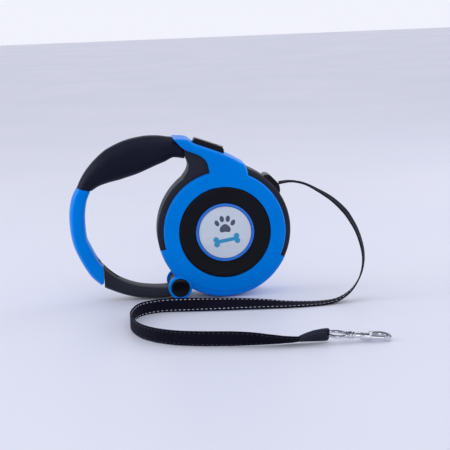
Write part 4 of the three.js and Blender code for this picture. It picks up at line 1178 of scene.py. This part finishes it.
front_cover = cover()
back_cover = mirrored(front_cover, "back_cover_shell")
for screw_at in SCREWS:
    carve(back_cover, "DIFFERENCE", disc(SCREW_HEAD_R, 10, 30, screw_at, 32))
for blue, node_name in ((front_cover, "front_cover"), (back_cover, "back_cover")):
    shade(ease_edges(blue, 0.3))
    finish_piece(blue, BLUE, instead_of=[node_name])

# %% [markdown]
# ## The side face
# Inside the ring sits a dark disc with a shallow dish, then a thin polished bezel, then a pearl badge.
# The badge carries a plain emblem of a paw and a bone, drawn here from circles, as a low relief that
# would be pad printed. These are all turned shapes, so one profile each is enough.

# %% Dark disc, bezel and badge
BEZEL_IN, BEZEL_OUT = 22, 24.1


def side_face():
    """The three turned pieces of a side face, each inside the one before."""
    face = COVER_FACE
    seat, floor = BEZEL_OUT + GAP, face + 2.3
    dish = turned("front_dark_disc", soften([
        (0, -CASE_HALF - GAP), (0, face + 2.6), (seat, face + 2.6), (seat, face + 1.1, 0.3),
        (29, face + 0.9, 3), (35.4, face + 0.1, 1.5), (DISC_R, face + 0.1, 0.8),
        (DISC_R, -CASE_HALF - GAP)], 6))
    bezel = turned("front_bezel", soften([
        (BEZEL_IN, floor), (BEZEL_IN, face - 0.4, 0.5), (BEZEL_OUT, face - 0.4, 0.8), (BEZEL_OUT, floor)], 6))
    pearl = turned("front_pearl_badge", soften([
        (0, floor), (0, face - 0.4), (13, face - 0.25, 6), (BEZEL_IN - GAP, face + 0.1, 0.6),
        (BEZEL_IN - GAP, floor)], 6))
    return dish, bezel, pearl


def on_side(piece, side_name, kind):
    """Names a piece that was made for the front, and mirrors it first if it belongs on the back."""
    if side_name == "back":
        front_piece, piece = piece, mirrored(piece, f"back_{kind}")
        bpy.data.objects.remove(front_piece)
    piece.name = f"{side_name}_{kind}"
    return shade(piece)


# %% The emblem: a paw over a bone
def oval(x, z, a, b, tilt, sides=40):
    c, s = math.cos(math.radians(tilt)), math.sin(math.radians(tilt))
    turns = [2 * math.pi * k / sides for k in range(sides)]
    return [(x + a * math.cos(t) * c - b * math.sin(t) * s, z + a * math.cos(t) * s + b * math.sin(t) * c)
            for t in turns]


def relief(outline):
    return plate("relief", outline, COVER_FACE - 0.5, COVER_FACE + 0.2, 0.12, 3)


def paw():
    pad = relief(soften([
        (-5, 2.2, 2.4), (-3.3, 5.6, 2), (0, 7.6, 3), (3.3, 5.6, 2), (5, 2.2, 2.4), (3.4, -0.2, 2), (0, 1, 3),
        (-3.4, -0.2, 2)]))
    toes = [relief(oval(x, z, 1.75, 2.6, tilt)) for x, z, tilt in (
        (-6.6, 8, 28), (-2.5, 11.4, 9), (2.5, 11.4, -9), (6.6, 8, -28))]
    return carve(pad, "UNION", *toes)


def bone():
    shaft = relief([(-8, -8), (8, -8), (8, -5), (-8, -5)])
    knobs = [relief(oval(x, z, 2.3, 2.3, 0)) for x in (-8.6, 8.6) for z in (-8.5, -4.5)]
    carve(shaft, "UNION", *knobs)
    turn = Matrix.Translation(REEL) @ Matrix.Rotation(math.radians(-9), 4, "Y") @ Matrix.Translation(-REEL)
    shaft.data.transform(turn)
    return shaft


for side_name in ("front", "back"):
    dish, bezel, pearl = side_face()
    emblem_paw, emblem_bone = paw(), bone()
    faces_made = [
        (dish, "dark_disc", DISC_BLACK, "face_gloss", ["side_disc"]),
        (bezel, "bezel", BEZEL_BLUE, "bezel", ["badge_ring"]),
        (pearl, "pearl_badge", BADGE_WHITE, "badge", ["badge"]),
        (emblem_paw, "paw_relief", EMBLEM_SLATE, "badge", []),
        (emblem_bone, "bone_relief", EMBLEM_AQUA, "badge", [])]
    for piece, kind, material, slot, nodes in faces_made:
        piece = on_side(piece, side_name, kind)
        finish_piece(piece, material, instead_of=[f"{side_name}_{n}" for n in nodes])

# %% [markdown]
# ## The hand loop
# The grip is a soft rubber sleeve over the shell's spine, with one wide chamfer along its top that
# catches the light. The blue bow carries the loop round to the gate, and the gate arm closes it. All
# three are bars along a curve, with a section that changes size from station to station.

# %% Grip
GRIP_SECTION = [
    (1, 0.36, 0.16), (0.5, 1, 0.3), (-0.5, 1, 0.5), (-1, 0.42, 0.5),
    (-1, -0.42, 0.5), (-0.5, -1, 0.5), (0.5, -1, 0.3), (1, -0.36, 0.16)]
grip_sleeve = bar("grip_sleeve", GRIP_STATIONS, GRIP_SECTION, steps=120)
carve(grip_sleeve, "INTERSECT", through(soften(GRIP_AREA)))
carve(grip_sleeve, "DIFFERENCE", spine(GAP))
shade(ease_edges(grip_sleeve, 0.5, 50))
finish_piece(grip_sleeve, GRIP_RUBBER, instead_of=["grip"])

# %% Bow
BOW_STATIONS = [
    (-110.5, 47, 5.6, 10.5), (-114, 39.7, 5.7, 10.5), (-118, 31.5, 6.3, 10.5), (-120.3, 20.5, 6.5, 10.5),
    (-120.6, 7.4, 6.4, 10.5), (-119.3, -3.7, 6.2, 10.5), (-116.3, -11.8, 6.5, 10.5),
    (-111.2, -22.6, 6.5, 10.5), (-106.5, -29.7, 6.9, 10.5), (-99.5, -36.5, 7, 10.5)]
BOW_SECTION = [
    (1, 0.4, 0.3), (0.62, 1, 0.35), (-0.75, 1, 0.4), (-1, 0.6, 0.4),
    (-1, -0.6, 0.4), (-0.75, -1, 0.4), (0.62, -1, 0.35), (1, -0.4, 0.3)]
JOINT_X = -101.4                # where the bow meets the gate
CATCH_HALF = 2.8

bow_shell = bar("bow_shell", BOW_STATIONS, BOW_SECTION, steps=110, flip=True)
below_grip = [(-135, 45.1), (-100, 36.35), (-100, -60), (-135, -60)]
carve(bow_shell, "INTERSECT", through(below_grip))
carve(bow_shell, "INTERSECT", box_tool(100, 60, 260, (JOINT_X - 50, 0, 0)))
notch = [(-107.6, -21.6), (-103.6, -29.3), (-100, -29.3), (-100, -12), (-104, -12)]
carve(bow_shell, "DIFFERENCE", spine(GAP), plate("tool", notch, -CATCH_HALF - GAP, CATCH_HALF + GAP))
shade(ease_edges(bow_shell, 0.4, 50))
finish_piece(bow_shell, BLUE, instead_of=["bow"])

# %% Gate arm and its catch
GATE_STATIONS = [
    (-106.5, -29.7, 6.9, 10.2), (-100.9, -35.7, 7, 10.2), (-92.2, -41.4, 6.2, 9.5), (-81.7, -46, 5.7, 9.5),
    (-72.5, -48.6, 5.5, 9.5), (-63.4, -49.7, 5.2, 9.5), (-54, -50.1, 4.8, 10.6), (-45.5, -49.6, 4.2, 12.2),
    (-39, -48.8, 4, 12.6)]
CATCH = [
    (-100.9, -36.2), (-93.6, -36.2, 0.6), (-93.6, -34, 1), (-98.2, -29.6, 2), (-101.6, -25.4, 2),
    (-104.2, -20.2, 0.5), (-106.2, -21.2, 0.5), (-102.9, -27.9, 1), (-100.9, -28.8, 0.5)]
EYE_HALF = 12.7                 # the arm's eye is as wide as the room between the covers

gate_bar = bar("gate_bar", GATE_STATIONS, BOW_SECTION, steps=110, flip=True)
carve(gate_bar, "INTERSECT", box_tool(140, 60, 260, (JOINT_X + GAP + 70, 0, 0)))
carve(gate_bar, "UNION", turned("tool", soften([
    (GATE_PIN_HOLE_R, -EYE_HALF), (GATE_EYE_R, -EYE_HALF, 1), (GATE_EYE_R, EYE_HALF, 1),
    (GATE_PIN_HOLE_R, EYE_HALF)], 4), PIVOT, 64))
carve(
    gate_bar, "DIFFERENCE",
    disc(GATE_PIN_HOLE_R, -20, 20, PIVOT, 48),
    box_tool(14, 2 * (CATCH_HALF + GAP), 30, (JOINT_X + 6.6, 0, -21.6)))
shade(ease_edges(gate_bar, 0.4, 50))
finish_piece(gate_bar, CHARCOAL, "gate", ["gate_arm"])

catch_piece = plate("catch_lever", soften(CATCH), -CATCH_HALF, CATCH_HALF, 0.5)
shade(catch_piece)
finish_piece(catch_piece, GLOSS_BLACK, "gate_catch", ["gate_catch"])

# %% Hinge caps
for side_name in ("front", "back"):
    cap = on_side(turned("front_hinge_cap", soften([
        (0, COVER_FACE + 2.5), (0, COVER_FACE - 0.5), (HINGE_CAP_R, COVER_FACE - 0.3, 2.2),
        (HINGE_CAP_R, COVER_FACE + 2.5)], 8), PIVOT, 96), side_name, "hinge_cap")
    finish_piece(cap, GLOSS_BLACK, instead_of=[f"{side_name}_pivot_cap"])

# %% [markdown]
# ## Brake button, lock and nozzle
# The button is pressed by the thumb and stops the reel, and the small knurled lock slides to hold it
# down. Both lie along the slope of the neck, so they are made level and then turned into place. The
# nozzle guide is a harder, glossier plastic, because the tape wears it.

# %% Brake button
button = plate("brake_button_cap", soften([
    (-14, 3.2, 1.2), (-2, 3.5, 8), (10.6, 3.2, 1.2), (12.6, 1.6, 1), (13.4, -1, 1), (13.4, -4), (-13.4, -4),
    (-14, -1, 0.8)]), -BUTTON_HALF, BUTTON_HALF, 1.1, 5)
carve(button, "DIFFERENCE", box_tool(7.6, 5.2, 10, (8.2, 0, 6.6)))
on_slope(button)
shade(ease_edges(button, 0.25, 45))
finish_piece(button, GLOSS_BLACK, "brake_button", ["brake_button"])

# %% Knurled lock
KNOB_AT = 9.5                   # along the button from its middle
knurl = []
for k in range(48):
    spread = 2.2 if k % 2 else 2.02
    knurl.append((KNOB_AT + spread * math.cos(math.pi * k / 24), spread * math.sin(math.pi * k / 24)))
lock_knob = plate("brake_lock_knob", knurl, 0, 2.1, 0.3, 3)
lift = Matrix.Translation(REEL + Vector((0, 0, 1.95)) * MM)
lock_knob.data.transform(lift @ Matrix.Rotation(math.pi / 2, 4, "X") @ Matrix.Translation(-REEL))
carve(lock_knob, "UNION", box_tool(4.4, 4.6, 0.9, (KNOB_AT, 0, 2.35)))
carve(lock_knob, "DIFFERENCE", box_tool(3.2, 0.5, 0.6, (KNOB_AT, 0, 4.0)))
on_slope(lock_knob)
shade(lock_knob, 25)
finish_piece(lock_knob, STEEL, "brake_lock", ["brake_lock"])

# %% Nozzle guide
guide = plate("nozzle_guide_block", soften(NOZZLE), -NOZZLE_HALF, NOZZLE_HALF, 1.4, 5)
carve(guide, "DIFFERENCE", tape_slot())
shade(ease_edges(guide, 0.3))
finish_piece(guide, GLOSS_BLACK, instead_of=["nozzle_guide"])

# %% [markdown]
# ## Screws and the parts inside
# Five self-tapping screws hold the halves together from the back. One screw is made with its cross
# recess, and the fastener recipe puts it at each boss. The reel, the springs and the pins keep their
# CAD shapes, which are right as they are, and only take their finishes.

# %% Case screws
SCREW_TOP = 12.8
screw = turned("screw_pattern", soften([
    (0, -8), (0.5, -7.4), (1.1, -6.4), (1.1, 11.3), (2.5, 11.3), (2.5, 12.1, 0.6), (1.9, SCREW_TOP, 0.5),
    (0, SCREW_TOP)], 4), sides=40)
for width, height in ((2.9, 0.7), (0.7, 2.9)):
    carve(screw, "DIFFERENCE", box_tool(width, 1.8, height, (0, SCREW_TOP, 0)))
shade(screw, 30)
screw.data.transform(Matrix.Translation(-REEL))
seats = bpy.data.meshes.new("case_screws")
seats.from_pydata([REEL + Vector((x, 0, z)) * MM for x, z in SCREWS], [], [])
case_screws = bpy.data.objects.new("case_screws", seats)
bpy.context.scene.collection.objects.link(case_screws)
follow(case_screws, FASTENERS, {"Fastener": screw, "Finish": STEEL})
bpy.data.objects.remove(screw)
finish_piece(case_screws, STEEL, instead_of=[f"case_screw_{k + 1}" for k in range(len(SCREWS))])

# %% Finishes of the CAD nodes that stay
INNER_FINISHES = {
    "reel": NYLON, "spring_cover": NYLON, "hub_bush": BRONZE, "power_spring": SPRING_STEEL, "spindle": STEEL,
    "brake_spring": SPRING_STEEL, "bow_pin": STEEL, "gate_pin": STEEL, "brake_pawl": STEEL}
for node_name, material in INNER_FINISHES.items():
    inner_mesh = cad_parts[node_name].data
    for k in range(len(inner_mesh.materials)):
        inner_mesh.materials[k] = material
    print(node_name, "takes", material.name)

# %% [markdown]
# ## The table and the light
# A product shot on a pale table needs even light from above, which the world gives. One soft light on
# each side draws the bright lines on the rounded rims, and a weak one in front fills the flat faces.
# The world is dark behind the camera, so the black parts have nothing bright to mirror.

# %% Table
bpy.ops.mesh.primitive_grid_add(size=16, x_subdivisions=4, y_subdivisions=4)
table_top = bpy.context.object
table_top.name = "table_top"
table_paint, tree, shader = started("table_paint", specular_ior_level=0.35)
place = node(tree, "ShaderNodeTexCoord").outputs["Object"]
cloud = node(tree, "ShaderNodeTexNoise", {"Vector": place, "Scale": 3.0, "Detail": 3.0})
tree.links.new(
    blended(tree, between(tree, cloud.outputs[0], 0, 1), (0.68, 0.69, 0.77, 1), (0.66, 0.675, 0.76, 1)),
    shader["Base Color"])
tree.links.new(between(tree, cloud.outputs[0], 0.4, 0.5), shader["Roughness"])
table_top.data.materials.append(table_paint)

# %% Lights
def softbox(name, place, size, power, colour=(1, 1, 1)):
    """A square area light that faces the middle of the object."""
    panel = bpy.data.lights.new(name, "AREA")
    panel.shape = "SQUARE"
    panel.size = size
    panel.energy = power
    panel.color = colour
    stand = bpy.data.objects.new(name, panel)
    stand.location = place
    stand.rotation_mode = "QUATERNION"
    stand.rotation_quaternion = (Vector(place) - AIM).to_track_quat("Z", "Y")
    bpy.context.scene.collection.objects.link(stand)
    return stand


softbox("left_light", (-1.2, 0.1, 0.45), 0.7, 5.0)
softbox("right_light", (1.25, 0.25, 0.45), 0.7, 5.0)
softbox("front_light", (0.1, -1.7, 0.7), 1.0, 6.0)

world = bpy.data.worlds.new("studio")
bpy.context.scene.world = world
world.use_nodes = True
tree = world.node_tree
outward = node(tree, "ShaderNodeTexCoord").outputs["Generated"]
towards = node(tree, "ShaderNodeSeparateXYZ", {0: outward}).outputs
open_sky = sums(tree, "ADD", towards[2], sums(tree, "MULTIPLY", towards[1], 0.6))
lit = node(tree, "ShaderNodeMapRange", {"Value": open_sky, "From Min": -0.5, "From Max": 0.35}).outputs[0]
sky = blended(tree, lit, (0.12, 0.13, 0.18, 1), (0.9, 0.91, 1.0, 1))
tree.links.new(sky, tree.nodes["Background"].inputs["Color"])
tree.nodes["Background"].inputs["Strength"].default_value = 0.98
bpy.context.scene.view_settings.view_transform = "Standard"
